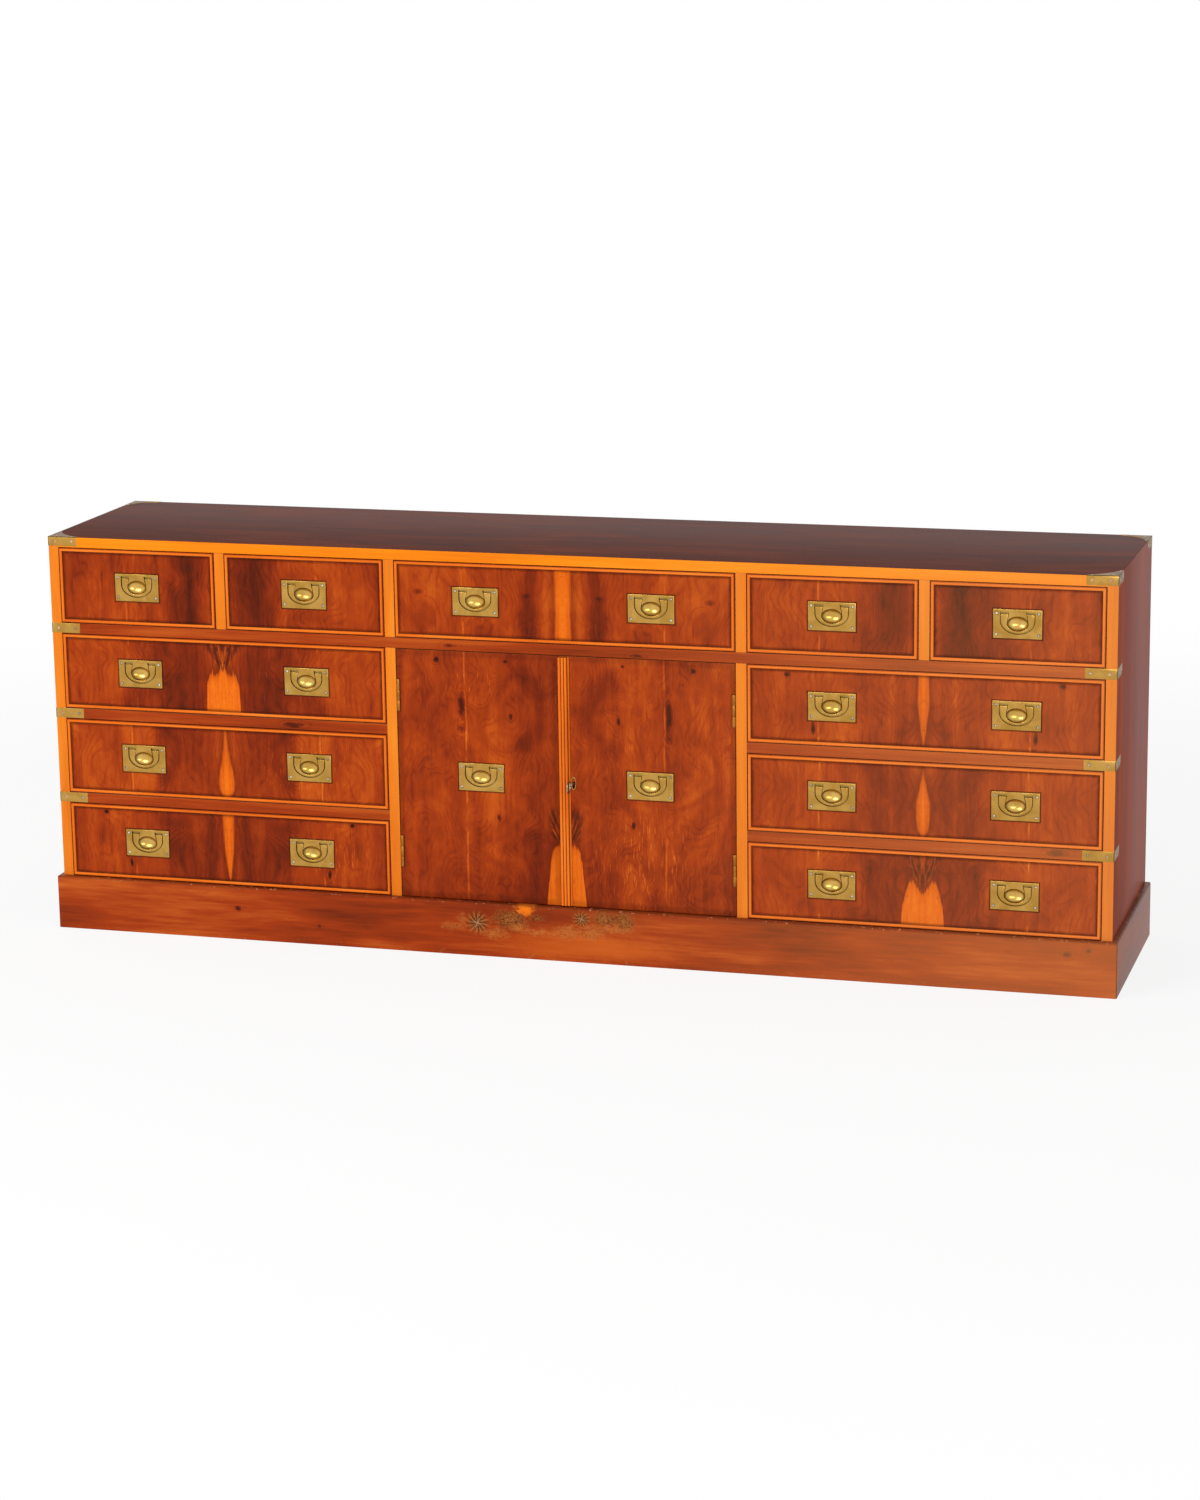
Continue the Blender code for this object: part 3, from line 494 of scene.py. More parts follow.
def solidYew(name, look):
    # straight-grained yew: lippings, rails, plinth and top
    finish = Finish(name)
    along, across = {"x": (finish.x, finish.z), "y": (finish.y, finish.z),
                     "z": (finish.z, finish.x)}[look["grain"]]
    if look["lying"]:
        across = finish.y
    wide, long = look["lumps"]

    def field(crossways, lengthways, *rest):
        scale = [lengthways if axis == look["grain"] else crossways for axis in "xyz"]
        return finish.noise(scale, *rest)

    broad = field(wide, long, 3, 0.55, look["warp"])
    streak = field(wide * 9, long * 2.5, 3, 0.6)
    fine = field(950, 26, 2, 0.6)
    tone = 0.5 + broad.swing(look["spread"]) + streak.swing(look["streak"])
    tone = tone + fine.swing(look["fine"])
    if look["knots"]:
        tone = tone - knotMarks(along, across, look["knots"], field(90, 40)) * yewLook["knotDark"]
    colour = finish.ramp(tone, look["colours"])
    if look["burr"]:
        colour = burrMarks(finish, colour, look["burr"])
    dirt = field(60, 22, 4, 0.7).rise(0.63, 0.80) * look["dirt"]
    colour = finish.mix(dirt, colour, yewLook["dirt"])
    if look["waxed"]:
        # wax and painted shade in the low places behind the front: the foot of the bead, the grooves
        # between the reeds and the sides of the fillet
        start, full = look["waxed"]
        low = finish.y.rise(start, full) * (1 - finish.y.rise(full + 3 * mm, full + 6 * mm) * 0.75)
        colour = finish.mix(low * yewLook["waxShare"], colour, yewLook["wax"])
    if look["stained"]:
        # the attribute runs from 0 on a bead's outer side to 1 on its inner side; the outer side is
        # stained darker red, and the inner side, beside the field, gets painted shade
        bead = finish.node("Attribute", {"attribute_name": "across"}, output="Fac")
        outer, inner = (1 - bead.rise(0.10, 0.40)) * 0.75, bead.rise(0.84, 0.97) * 0.6
        colour = finish.mix(outer, colour, yewLook["beadOuter"])
        colour = finish.mix(inner, colour, yewLook["beadInner"])
    colour = paintedRightHaze(finish, colour, look["bleach"])
    if look["wornTo"]:
        chips = finish.noise((130, 130, 130), 3, 0.7).rise(0.60, 0.70)
        low = 1 - finish.z.rise(look["wornTo"] * 0.3, look["wornTo"])
        edge = finish.z.rise(*[look["wornTop"] - deep for deep in yewLook["edgeDeep"]])
        # chips low down and along the top edge are wear; the dark band just under the top edge is
        # painted shadow of the gap under the case
        for cover, wearAndShade in ((chips * low * 0.8, "chip"), (edge * (1 - chips) * 0.45, "rub"),
                            (edge * chips * 0.8, "edgeChip")):
            colour = finish.mix(cover, colour, yewLook[wearAndShade])
    rough = look["rough"] + broad.swing(0.12) + dirt * 0.3
    return finish.close(Base_Color=colour, Roughness=rough, Specular_IOR_Level=look["gloss"],
                        Specular_Tint=varnish["tint"],
                        Normal=finish.bump(fine * 0.4 + streak * 0.3, *yewLook["bump"]))


def insideWood(name, light, dark, scale):
    # plain timber inside the drawers and the case
    finish = Finish(name)
    broad = finish.noise(scale, 3, 0.6, 0.4)
    fine = finish.noise([value * 14 for value in scale], 3, 0.6)
    share = broad + fine.swing(1.5)
    spots = finish.noise((60, 60, 60)).rise(0.68, 0.76)
    colour = finish.mix(share.rise(0.1, 0.9), rgb(*dark), rgb(*light))
    colour = finish.mix(spots * 0.35, colour, rgb(84, 56, 34))
    return finish.close(Base_Color=colour, Roughness=0.62 + fine.swing(0.2),
                        Normal=finish.bump(fine, 0.14, 0.0004))


metalFields = {"cloud": ((42, 42, 42), 3, 0.55, 0.4), "brushed": ((60, 60, 1400), 2, 0.6),
               "spots": ((420, 420, 420), 2, 0.6), "steel": ((260, 260, 260), 3, 0.6)}


def wornBrass(name, look):
    # polished on the high places, brown in the low ones, from wax and painted shade
    finish = Finish(name)
    cloud, brushed, spots = [finish.noise(*metalFields[key])
                             for key in ("cloud", "brushed", "spots")]
    spots = spots.rise(0.64, 0.76)
    brown = rgb(*look["brown"])
    colour = finish.mix(cloud.rise(0.28, 0.72), rgb(*look["dull"]), rgb(*look["bright"]))
    colour = finish.mix(spots * look["spots"], colour, brown)
    rough = look["rough"] + cloud.swing(0.12) + spots * 0.18 + brushed.swing(0.08)
    if "bed" in look:
        # dark wax and painted shade between the depths of the bed, in millimetres behind the case's
        # front
        start, full, fade, end = [frontY + depth * mm for depth in look["bed"]]
        bed = finish.y.rise(start, full) * (1 - finish.y.rise(fade, end))
        colour = finish.mix(bed * look["bedShare"], colour, brown)
        rough = rough + bed * 0.15
    return finish.close(Base_Color=colour, Metallic=1.0, Roughness=rough,
                        Normal=finish.bump(brushed * 0.4 + cloud * 0.5, look["relief"], 0.0003))


def oldSteel(name, dull, bright):
    finish = Finish(name)
    cloud = finish.noise(*metalFields["steel"])
    colour = finish.mix(cloud.rise(0.35, 0.7), rgb(*dull), rgb(*bright))
    return finish.close(Base_Color=colour, Metallic=1.0, Roughness=0.34 + cloud.swing(0.3),
                        Normal=finish.bump(cloud, 0.2, 0.0002))


# Mesh helpers

def addBoard(bm, low, high):
    low, high = Vector(low), Vector(high)
    place = Matrix.Translation((low + high) / 2) @ Matrix.Diagonal((*(high - low), 1))
    bmesh.ops.create_cube(bm, size=1, matrix=place)


def addRod(bm, middle, radius, length, axis="z", sides=32):
    turn = {"x": Matrix.Rotation(pi / 2, 4, "Y"), "y": Matrix.Rotation(pi / 2, 4, "X"),
            "z": Matrix.Identity(4)}[axis]
    bmesh.ops.create_cone(bm, cap_ends=True, segments=sides, radius1=radius, radius2=radius,
                          depth=length, matrix=Matrix.Translation(middle) @ turn)


def addBall(bm, middle, radii, rings):
    # an oval ball with its poles along y
    bmesh.ops.create_uvsphere(
        bm, u_segments=rings[0], v_segments=rings[1], radius=1,
        matrix=Matrix.Translation(middle) @ Matrix.Diagonal((*radii, 1))
        @ Matrix.Rotation(pi / 2, 4, "X"))


def addPrism(bm, outline, low, high, plane):
    # a flat outline carried from low to high across its plane
    lift = {"xy": lambda u, v, w: (u, v, w), "xz": lambda u, v, w: (u, w, v),
            "yz": lambda u, v, w: (w, u, v)}[plane]
    face = bm.faces.new([bm.verts.new(lift(u, v, low)) for u, v in outline])
    pulled = bmesh.ops.extrude_face_region(bm, geom=[face])["geom"]
    ends = [item for item in pulled if isinstance(item, bmesh.types.BMVert)]
    bmesh.ops.translate(bm, verts=ends, vec=lift(0, 0, high - low))
    bmesh.ops.recalc_face_normals(bm, faces=bm.faces)


def arc(middle, radii, start, end, steps):
    angles = [start + (end - start) * step / steps for step in range(steps + 1)]
    return [(middle[0] + radii[0] * cos(t), middle[1] + radii[1] * sin(t)) for t in angles]


def oval(middle, radii, steps=48):
    return arc(middle, radii, 0, 2 * pi * (steps - 1) / steps, steps - 1)


def oblong(low, high):
    return [low, (high[0], low[1]), high, (low[0], high[1])]


def soften(bm, width, segments=2, test=None, sharper=0.5):
    # round every edge that turns outward, or those that pass the test
    edges = [edge for edge in bm.edges
             if len(edge.link_faces) == 2 and edge.calc_face_angle_signed(0) > sharper
             and (test is None or test(edge))]
    bmesh.ops.bevel(bm, geom=edges, offset=width, segments=segments, profile=0.5,
                    affect="EDGES", clamp_overlap=True)


def before(limit):
    # a test for edges that lie wholly in front of a place
    return lambda edge: all(vert.co.y < limit for vert in edge.verts)


def run(edge, axis):
    return abs(edge.verts[0].co[axis] - edge.verts[1].co[axis])


def smoothed(name, mesh, angle):
    mesh.name = name
    mesh.shade_smooth()
    mesh.set_sharp_from_angle(angle=radians(angle))
    return mesh


def toMesh(name, bm, angle=30):
    mesh = bpy.data.meshes.new(name)
    bm.to_mesh(mesh)
    bm.free()
    return smoothed(name, mesh, angle)


def shaped(name, add, *shapes, angle=30):
    # one mesh of several shapes, each given by the values that add takes
    bm = bmesh.new()
    for shape in shapes:
        add(bm, *shape)
    return toMesh(name, bm, angle)


def merged(name, meshes, offsets=None, angle=40):
    # several meshes as one, each moved by its own offset
    bm = bmesh.new()
    for mesh, offset in zip(meshes, offsets or [(0, 0, 0)] * len(meshes)):
        start = len(bm.verts)
        bm.from_mesh(mesh)
        bm.verts.ensure_lookup_table()
        bmesh.ops.translate(bm, verts=bm.verts[start:], vec=offset)
    return toMesh(name, bm, angle)


def placed(name, data):
    made = bpy.data.objects.new(name, data)
    scene.collection.objects.link(made)
    return made


def worked(owner):
    # the mesh that an object's modifiers give
    bpy.context.view_layer.update()
    graph = bpy.context.evaluated_depsgraph_get()
    return bpy.data.meshes.new_from_object(owner.evaluated_get(graph))


def cutMesh(name, mesh, tools, angle=30):
    # take each tool mesh out of the mesh
    holder = placed(name, mesh)
    cutters = [placed(name + "Cut", tool) for tool in tools]
    for cutter in cutters:
        change = holder.modifiers.new("cut", "BOOLEAN")
        change.operation = "DIFFERENCE"
        change.object = cutter
    result = worked(holder)
    for each in cutters + [holder]:
        bpy.data.objects.remove(each)
    return smoothed(name, result, angle)


def addPiece(name, mesh, body, looks, replaced=None, rule=None):
    # rule gives the number of the look for a face, from its middle and normal
    piece = placed(name, mesh)
    mesh.materials.clear()
    for look in looks:
        mesh.materials.append(finishes[look])
    for face in mesh.polygons:
        face.material_index = rule(face.center, face.normal) if rule else 0
    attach(piece, body)
    if replaced:
        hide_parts(replaced)


# Handle sizes, all taken from the middle of the plate
handleLook = {
    "plate": (80 * mm, 48 * mm), "proud": 0.8 * mm, "plateDeep": 10.4 * mm,
    "bailHalf": 27.3 * mm, "bailInner": 15.0 * mm, "bailTop": 16.0 * mm,
    "shoulder": 4.5 * mm, "drop": 15.5 * mm, "bailThick": 2.6 * mm, "bailSoft": 0.75 * mm,
    "bowl": (17.6 * mm, 12.2 * mm), "bowlUp": 0.4 * mm, "bowlDeep": 7.8 * mm,
    "bowlOut": 6.5 * mm, "ridge": 0.97, "ease": 1.6 * mm, "slot": 2.3 * mm,
    "pin": 0.8 * mm, "pinReach": 28.8 * mm, "pinIn": 1.5 * mm, "pinRoom": 0.2 * mm,
    "screwAt": (34.4 * mm, 17.4 * mm), "screwR": 2.3 * mm, "sink": 0.35 * mm,
    "sinkRoom": (0.25 * mm, 0.8 * mm), "screwSet": 0.5 * mm, "under": 0.3 * mm, "rim": 0.9 * mm,
}
screwPlaces = [(sideX * handleLook["screwAt"][0], sideZ * handleLook["screwAt"][1])
               for sideX in (-1, 1) for sideZ in (-1, 1)]


def bailOutline(ease=0.0, slot=0.0, fill=1.0):
    look = handleLook
    outer = look["bailHalf"] + ease
    inner = look["bailInner"] - ease
    top = look["bailTop"] + ease + slot
    drop = look["shoulder"] + look["drop"] + ease
    lower = arc((0, look["shoulder"]), (outer, drop), pi, 2 * pi, 48)
    bowl = (look["bowl"][0] * fill, look["bowl"][1] * fill)
    upper = arc((0, look["bowlUp"]), bowl, 0, -pi, 32)
    return [(-outer, top)] + lower + [(outer, top), (inner, top)] + upper + [(-inner, top)]


def pinAxis():
    look = handleLook
    return look["bailThick"] / 2 - look["proud"], look["bailTop"] - look["bailThick"] / 2


def platePattern():
    look = handleLook
    wide, tall = look["plate"][0] / 2, look["plate"][1] / 2
    face = -look["proud"]
    floor = face + look["bailThick"] + look["under"]
    bm = bmesh.new()
    addBoard(bm, (-wide, face, -tall), (wide, look["plateDeep"], tall))
    soften(bm, look["rim"], 3, before(0))
    plate = toMesh("platePattern", bm)

    # the bail's bed, the hollow behind it, sinks for the screws and holes for the pins
    bed = bailOutline(look["ease"], look["slot"], look["ridge"])
    reach = look["bowlDeep"] + look["bowlOut"]
    grow = 1 / sqrt(1 - (look["bowlOut"] / reach) ** 2)
    wider, deeper = look["sinkRoom"]
    sinks = [((x, face, z), look["screwR"] + wider, 2 * look["sink"] + deeper, "y", 20)
             for x, z in screwPlaces]
    axisY, axisZ = pinAxis()
    hole = look["pin"] + look["pinRoom"]
    holes = []
    for side in (-1, 1):
        low, high = sorted((side * look["bailHalf"], side * look["pinReach"]))
        holes.append(((low, axisY - hole, axisZ - hole), (high + 0.1 * mm, floor, axisZ + hole)))
    tools = [shaped("bed", addPrism, (bed, face - 2 * mm, floor, "xz")),
             shaped("bowl", addBall, ((0, face - look["bowlOut"], look["bowlUp"]),
                                      (look["bowl"][0] * grow, reach, look["bowl"][1] * grow),
                                      (96, 64))),
             shaped("sinks", addRod, *sinks), shaped("pinHoles", addBoard, *holes)]
    return cutMesh("platePattern", plate, tools, 35)


def bailPattern():
    look = handleLook
    bm = bmesh.new()
    addPrism(bm, bailOutline(), -look["proud"], look["bailThick"] - look["proud"], "xz")
    soften(bm, look["bailSoft"], 3, lambda edge: run(edge, 1) < tiny)
    bail = toMesh("bail", bm, 40)
    axisY, axisZ = pinAxis()
    middle = (look["bailHalf"] + look["pinReach"] - look["pinIn"]) / 2
    long = look["pinReach"] - look["bailHalf"] + look["pinIn"]
    pins = [((side * middle, axisY, axisZ), look["pin"], long, "x", 16) for side in (-1, 1)]
    return merged("bailPattern", [bail, shaped("pins", addRod, *pins)])


platePatternMesh = platePattern()
bailPatternMesh = bailPattern()
print("handle patterns:", len(platePatternMesh.polygons), len(bailPatternMesh.polygons), "faces")


# Geometry Nodes trees

class Tree(Nodes):
    # a node group with named inputs, ending in real mesh of one material
    def __init__(self, name, sizes):
        super().__init__(bpy.data.node_groups.new(name, "GeometryNodeTree"))
        self.sizes = sizes
        self.keys = {}
        kinds = {float: "NodeSocketFloat", int: "NodeSocketInt", tuple: "NodeSocketVector"}
        sockets = self.tree.interface
        sockets.new_socket("Geometry", in_out="OUTPUT", socket_type="NodeSocketGeometry")
        for key, kind in (("Geometry", "NodeSocketGeometry"),
                          *((key, kinds[type(value)]) for key, value in sizes.items()),
                          ("Finish", "NodeSocketMaterial")):
            made = sockets.new_socket(key, in_out="INPUT", socket_type=kind)
            self.keys[key] = made.identifier
        self.start = self.put("NodeGroupInput").outputs

    def node(self, kind, settings=None, inputs=None, output=0):
        return self.put(kind, settings, inputs).outputs[output]

    def times(self, value, factor):
        return self.node("ShaderNodeMath", {"operation": "MULTIPLY"}, {0: value, 1: factor})

    def join(self, **values):
        return self.node("ShaderNodeCombineXYZ", inputs=values)

    def close(self, geometry):
        real = self.node("GeometryNodeRealizeInstances", inputs={0: geometry})
        done = self.node("GeometryNodeSetMaterial",
                         inputs={"Geometry": real, "Material": self.start["Finish"]})
        self.put("NodeGroupOutput", None, {0: done})
        return self


def grown(name, mesh, tree, finish, sizes):
    # the plain mesh that a tree makes of a starting mesh
    holder = placed(name, mesh)
    change = holder.modifiers.new("tree", "NODES")
    change.node_group = tree.tree
    for key, value in {**tree.sizes, **sizes, "Finish": finish}.items():
        change[tree.keys[key]] = value
    result = worked(holder)
    holder.modifiers.remove(change)
    bpy.data.objects.remove(holder)
    result.name = name
    return result


def spotMesh(name, spots):
    # bare points, each with the way that it faces
    mesh = bpy.data.meshes.new(name)
    mesh.from_pydata([place for place, facing in spots], [], [])
    facings = mesh.attributes.new("facing", "FLOAT_VECTOR", "POINT")
    for number, (place, facing) in enumerate(spots):
        facings.data[number].vector = facing
    return mesh


def screwTree():
    # a low tapered head with a saw slot, turned at random on each spot
    tree = Tree("screws", {"Radius": 0.0023, "Height": 0.0005, "Slot Width": 0.0006,
                           "Slot Depth": 0.0004, "Seed": 7})
    radius, twice = tree.start["Radius"], tree.times(tree.start["Height"], 2.0)
    head = tree.node("GeometryNodeMeshCone", {"fill_type": "NGON"}, {
        "Vertices": 20, "Radius Top": tree.times(radius, 0.84), "Radius Bottom": radius,
        "Depth": twice})
    size = tree.join(X=tree.times(radius, 2.6), Y=tree.start["Slot Width"],
                     Z=tree.times(tree.start["Slot Depth"], 2.0))
    slot = tree.node("GeometryNodeMeshCube", inputs={"Size": size})
    slot = tree.node("GeometryNodeTransform",
                     inputs={"Geometry": slot, "Translation": tree.join(Z=twice)})
    cut = tree.node("GeometryNodeMeshBoolean", {"operation": "DIFFERENCE"},
                    {"Mesh 1": head, "Mesh 2": slot})
    facing = tree.node("GeometryNodeInputNamedAttribute", {"data_type": "FLOAT_VECTOR"},
                       {"Name": "facing"})
    turn = tree.node("FunctionNodeAlignRotationToVector", {"axis": "Z"}, {"Vector": facing})
    points = tree.node("GeometryNodeMeshToPoints", inputs={"Mesh": tree.start["Geometry"]})
    heads = tree.node("GeometryNodeInstanceOnPoints", inputs={
        "Points": points, "Instance": cut, "Rotation": turn})
    angle = tree.node("FunctionNodeRandomValue", {"data_type": "FLOAT"},
                      {"Min": 0.0, "Max": pi, "Seed": tree.start["Seed"]}, 1)
    return tree.close(tree.node("GeometryNodeRotateInstances", inputs={
        "Instances": heads, "Rotation": tree.join(Z=angle)}))


def reedTree():
    # half-sunk rods side by side
    tree = Tree("reeds", {"Count": 3, "Pitch": 0.0054, "Length": 0.42, "Proud": 0.0025,
                          "First": (0.0, 0.0, 0.0)})
    pitch = tree.start["Pitch"]
    rod = tree.node("GeometryNodeMeshCylinder", {"fill_type": "NGON"}, {
        "Vertices": 32, "Side Segments": 1, "Radius": 1.0, "Depth": tree.start["Length"]})
    size = tree.join(X=tree.times(pitch, 0.5), Y=tree.start["Proud"], Z=1.0)
    rod = tree.node("GeometryNodeTransform", inputs={"Geometry": rod, "Scale": size})
    row = tree.node("GeometryNodeMeshLine", {"mode": "OFFSET"}, {
        "Count": tree.start["Count"], "Start Location": tree.start["First"],
        "Offset": tree.join(X=pitch)})
    return tree.close(tree.node("GeometryNodeInstanceOnPoints",
                                inputs={"Points": row, "Instance": rod}))


screws = screwTree()
reeds = reedTree()
print("geometry trees made")


# Finishes of the case
beadLook = {"grain": "z", "lumps": (60, 6), "spread": 0.8, "streak": 0.3, "fine": 0.15,
            "colours": evenStops((186, 74, 12), (236, 114, 24), (254, 152, 58))}
frontBead = {**beadLook, "dirt": 0.35, "stained": True,
             "waxed": (frontY - 1.0 * mm, frontY + 0.1 * mm)}
carcassLook = {"grain": "z", "lumps": (20, 2.4), "spread": 0.8, "fine": 0.3, "rough": 0.6,
               "colours": evenStops((120, 70, 36), (158, 104, 60), (184, 132, 84))}
finishLooks = {
    "stileSapwood": {"grain": "z", "lumps": (30, 3), "spread": 0.9, "streak": 0.35, "fine": 0.2,
                     "colours": evenStops((195, 84, 14), (231, 124, 27), (246, 157, 48)),
                     "rough": 0.32, "dirt": 0.25},
    "edgeSapwood": {"lumps": (30, 2.5), "spread": 0.8, "streak": 0.3, "fine": 0.2, "dirt": 0.12,
                    "colours": evenStops((216, 98, 8), (246, 136, 14), (254, 166, 44))},
    "beadUpright": frontBead,
    "beadLong": {**frontBead, "grain": "x"},
    "reedSapwood": {**beadLook, "waxed": (frontY - 4.95 * mm, frontY - 4.05 * mm)},
    "filletSapwood": {**beadLook, "waxed": (frontY - 1.3 * mm, frontY - 0.1 * mm)},
    "railVeneer": {"lumps": (40, 3),
                   "colours": evenStops((86, 24, 6), (162, 58, 13), (208, 104, 34)),
                   "knots": [(-0.485, 0.386, 0.019, 0.26, 1.0), (-0.200, 0.537, 0.013, 0.35, 0.7),
                             (0.128, 0.533, 0.013, 0.35, 0.7), (0.835, 0.237, 0.018, 0.35, 0.8)]},
    "plinthVeneer": {"lumps": (18, 3.6), "spread": 1.3, "fine": 0.24, "rough": 0.34, "dirt": 0.45,
                     "colours": evenStops((78, 22, 7), (158, 55, 12), (208, 102, 36)),
                     "wornTo": 0.012, "wornTop": plinthZ,
                     "knots": [(-0.595, 0.055, 0.006, 0.8, 0.9), (-0.445, 0.033, 0.005, 0.8, 0.8),
                               (0.852, 0.070, 0.008, 0.8, 0.9), (0.888, 0.078, 0.006, 0.8, 0.8)],
                     "burr": [(0.030, 0.026, 0.190, 0.024, "light", 0.45),
                              (-0.085, 0.080, 0.130, 0.034, "dusk", 0.62),
                              (0.070, 0.084, 0.085, 0.022, "dusk", 0.50),
                              (-0.072, 0.094, 0.026, 0.010, "sap", 1.0),
                              (-0.072, 0.084, 0.014, 0.010, "sap", 0.9),
                              (-0.205, 0.050, 0.016, 0.008, "smear", 0.55),
                              (-0.187, 0.060, 0.008, 0.016, "smear", 0.55),
                              (-0.158, 0.058, 0.021, 0.020, "star", 0.95),
                              (-0.126, 0.041, 0.022, 0.009, "smear", 0.80),
                              (-0.100, 0.067, 0.031, 0.019, "curl", 0.95),
                              (-0.086, 0.054, 0.018, 0.008, "smear", 0.85),
                              (-0.052, 0.047, 0.032, 0.006, "smear", 0.80),
                              (-0.050, 0.074, 0.013, 0.007, "curl", 0.85),
                              (0.002, 0.051, 0.026, 0.012, "smear", 0.85),
                              (0.044, 0.053, 0.025, 0.014, "smear", 0.85),
                              (0.027, 0.076, 0.015, 0.014, "star", 0.95),
                              (0.070, 0.079, 0.022, 0.015, "curl", 0.92),
                              (0.101, 0.077, 0.020, 0.017, "curl", 0.95),
                              (0.084, 0.061, 0.034, 0.007, "smear", 0.85)]},
    "sideVeneer": {"grain": "z", "lumps": (14, 2.0), "rough": 0.40, "dirt": 0.2,
                   "colours": evenStops((72, 18, 6), (136, 42, 13), (182, 74, 28)),
                   "gloss": 0.018, "bleach": 0.03},
    "topVeneer": {"lying": True, "lumps": (12, 2.4), "spread": 1.5, "fine": 0.3, "warp": 1.2,
                  "colours": evenStops((50, 15, 7), (88, 33, 16), (120, 57, 32)),
                  "rough": 0.42, "dirt": 0.15, "gloss": 0.016, "bleach": 0.0,
                  "knots": [(-0.50, -0.150, 0.024, 0.14, 0.7), (-0.36, -0.135, 0.016, 0.20, 0.6),
                            (0.42, -0.02, 0.030, 0.16, 0.5)]},
    "doorBack": {"grain": "z", "lumps": (16, 2.0), "spread": 1.1, "streak": 0.6, "fine": 0.4,
                 "colours": evenStops((96, 40, 18), (142, 70, 34), (176, 102, 56)),
                 "rough": 0.45},
    "carcassUpright": carcassLook,
    "carcassWood": {**carcassLook, "grain": "x", "lumps": (20, 3)},
}
finishLooks["plinthSide"] = {
    **finishLooks["plinthVeneer"], "grain": "y", "knots": None, "burr": None, "bleach": 0.06,
    "colours": evenStops((62, 18, 7), (124, 44, 14), (168, 82, 34))}

# Plain timber: its light and dark, and its lumps in a metre along x, y and z
insideLooks = {
    "drawerLining": ((198, 146, 90), (156, 102, 56), (2, 30, 30)),
    "drawerSide": ((194, 142, 88), (150, 98, 54), (30, 2, 30)),
    "backPlywood": ((186, 136, 86), (150, 102, 60), (30, 3, 3)),
    "drawerBottom": ((198, 158, 110), (164, 120, 76), (30, 3, 30)),
}
brassLook = {"bright": (198, 154, 78), "dull": (176, 132, 58), "brown": (34, 20, 9),
             "rough": 0.27, "spots": 0.30, "relief": 0.012}
brassLooks = {
    "agedBrass": {},
    "hingeBrass": {"bright": (188, 128, 58), "dull": (150, 94, 38), "rough": 0.34},
    # the top and the ends of the corners and straps are seldom polished
    "endBrass": {"bright": (142, 108, 56), "dull": (96, 68, 32), "rough": 0.42, "spots": 0.5},
    "plateBrass": {"bed": (-0.75, -0.1, 2.4, 4.0), "bedShare": 1.0},
    "bailBrass": {"bed": (-0.55, -0.05, 4.0, 5.0), "bedShare": 0.85},
    "bowlBrass": {"bright": (220, 180, 98), "dull": (190, 148, 68), "rough": 0.24,
                  "bed": (-0.4, 0.1, 0.9, 4.2), "bedShare": 0.68},
    # the well round the keyhole is painted nearly black: painted shade of the opening
    "wellBrass": {"bright": (224, 190, 130), "brown": (12, 8, 5), "bed": (-0.7, -0.1, 8, 9),
                  "bedShare": 1.0},
}
steelLooks = {"screwSteel": ((150, 136, 112), (232, 224, 206)),
              "keySteel": ((84, 70, 52), (216, 202, 174))}
finishes = {name: solidYew(name, {**yewBase, **look}) for name, look in finishLooks.items()}
finishes |= {name: insideWood(name, *look) for name, look in insideLooks.items()}
finishes |= {name: wornBrass(name, {**brassLook, **look}) for name, look in brassLooks.items()}
finishes |= {name: oldSteel(name, *look) for name, look in steelLooks.items()}
print("case finishes:", len(finishes))


# Figure of each drawer and door front: heights and half widths in millimetres
bankTone = [(0.0, 0.58), (0.07, 0.52), (0.11, 0.43), (0.18, 0.49), (0.26, 0.42), (0.38, 0.50),
            (0.47, 0.62), (0.80, 0.65), (0.92, 0.66), (1.0, 0.58)]
rightTone = [(0.0, 0.56), (0.07, 0.52), (0.11, 0.47), (0.18, 0.51), (0.28, 0.44), (0.38, 0.55),
             (0.47, 0.63), (0.92, 0.62), (1.0, 0.56)]
doorTone = [(0.0, 0.60), (0.05, 0.56), (0.13, 0.50), (0.26, 0.53), (0.42, 0.62),
            (0.55, 0.57), (0.92, 0.61), (1.0, 0.57)]
smallTone = [(0.0, 0.54), (0.07, 0.50), (0.13, 0.45), (0.20, 0.32), (0.27, 0.40), (0.36, 0.50),
             (0.50, 0.58), (0.90, 0.58), (1.0, 0.48)]
centreTone = [(0.0, 0.50), (0.05, 0.60), (0.09, 0.62), (0.14, 0.50), (0.18, 0.30),
              (0.21, 0.34), (0.26, 0.54), (0.50, 0.60), (0.90, 0.60), (1.0, 0.52)]
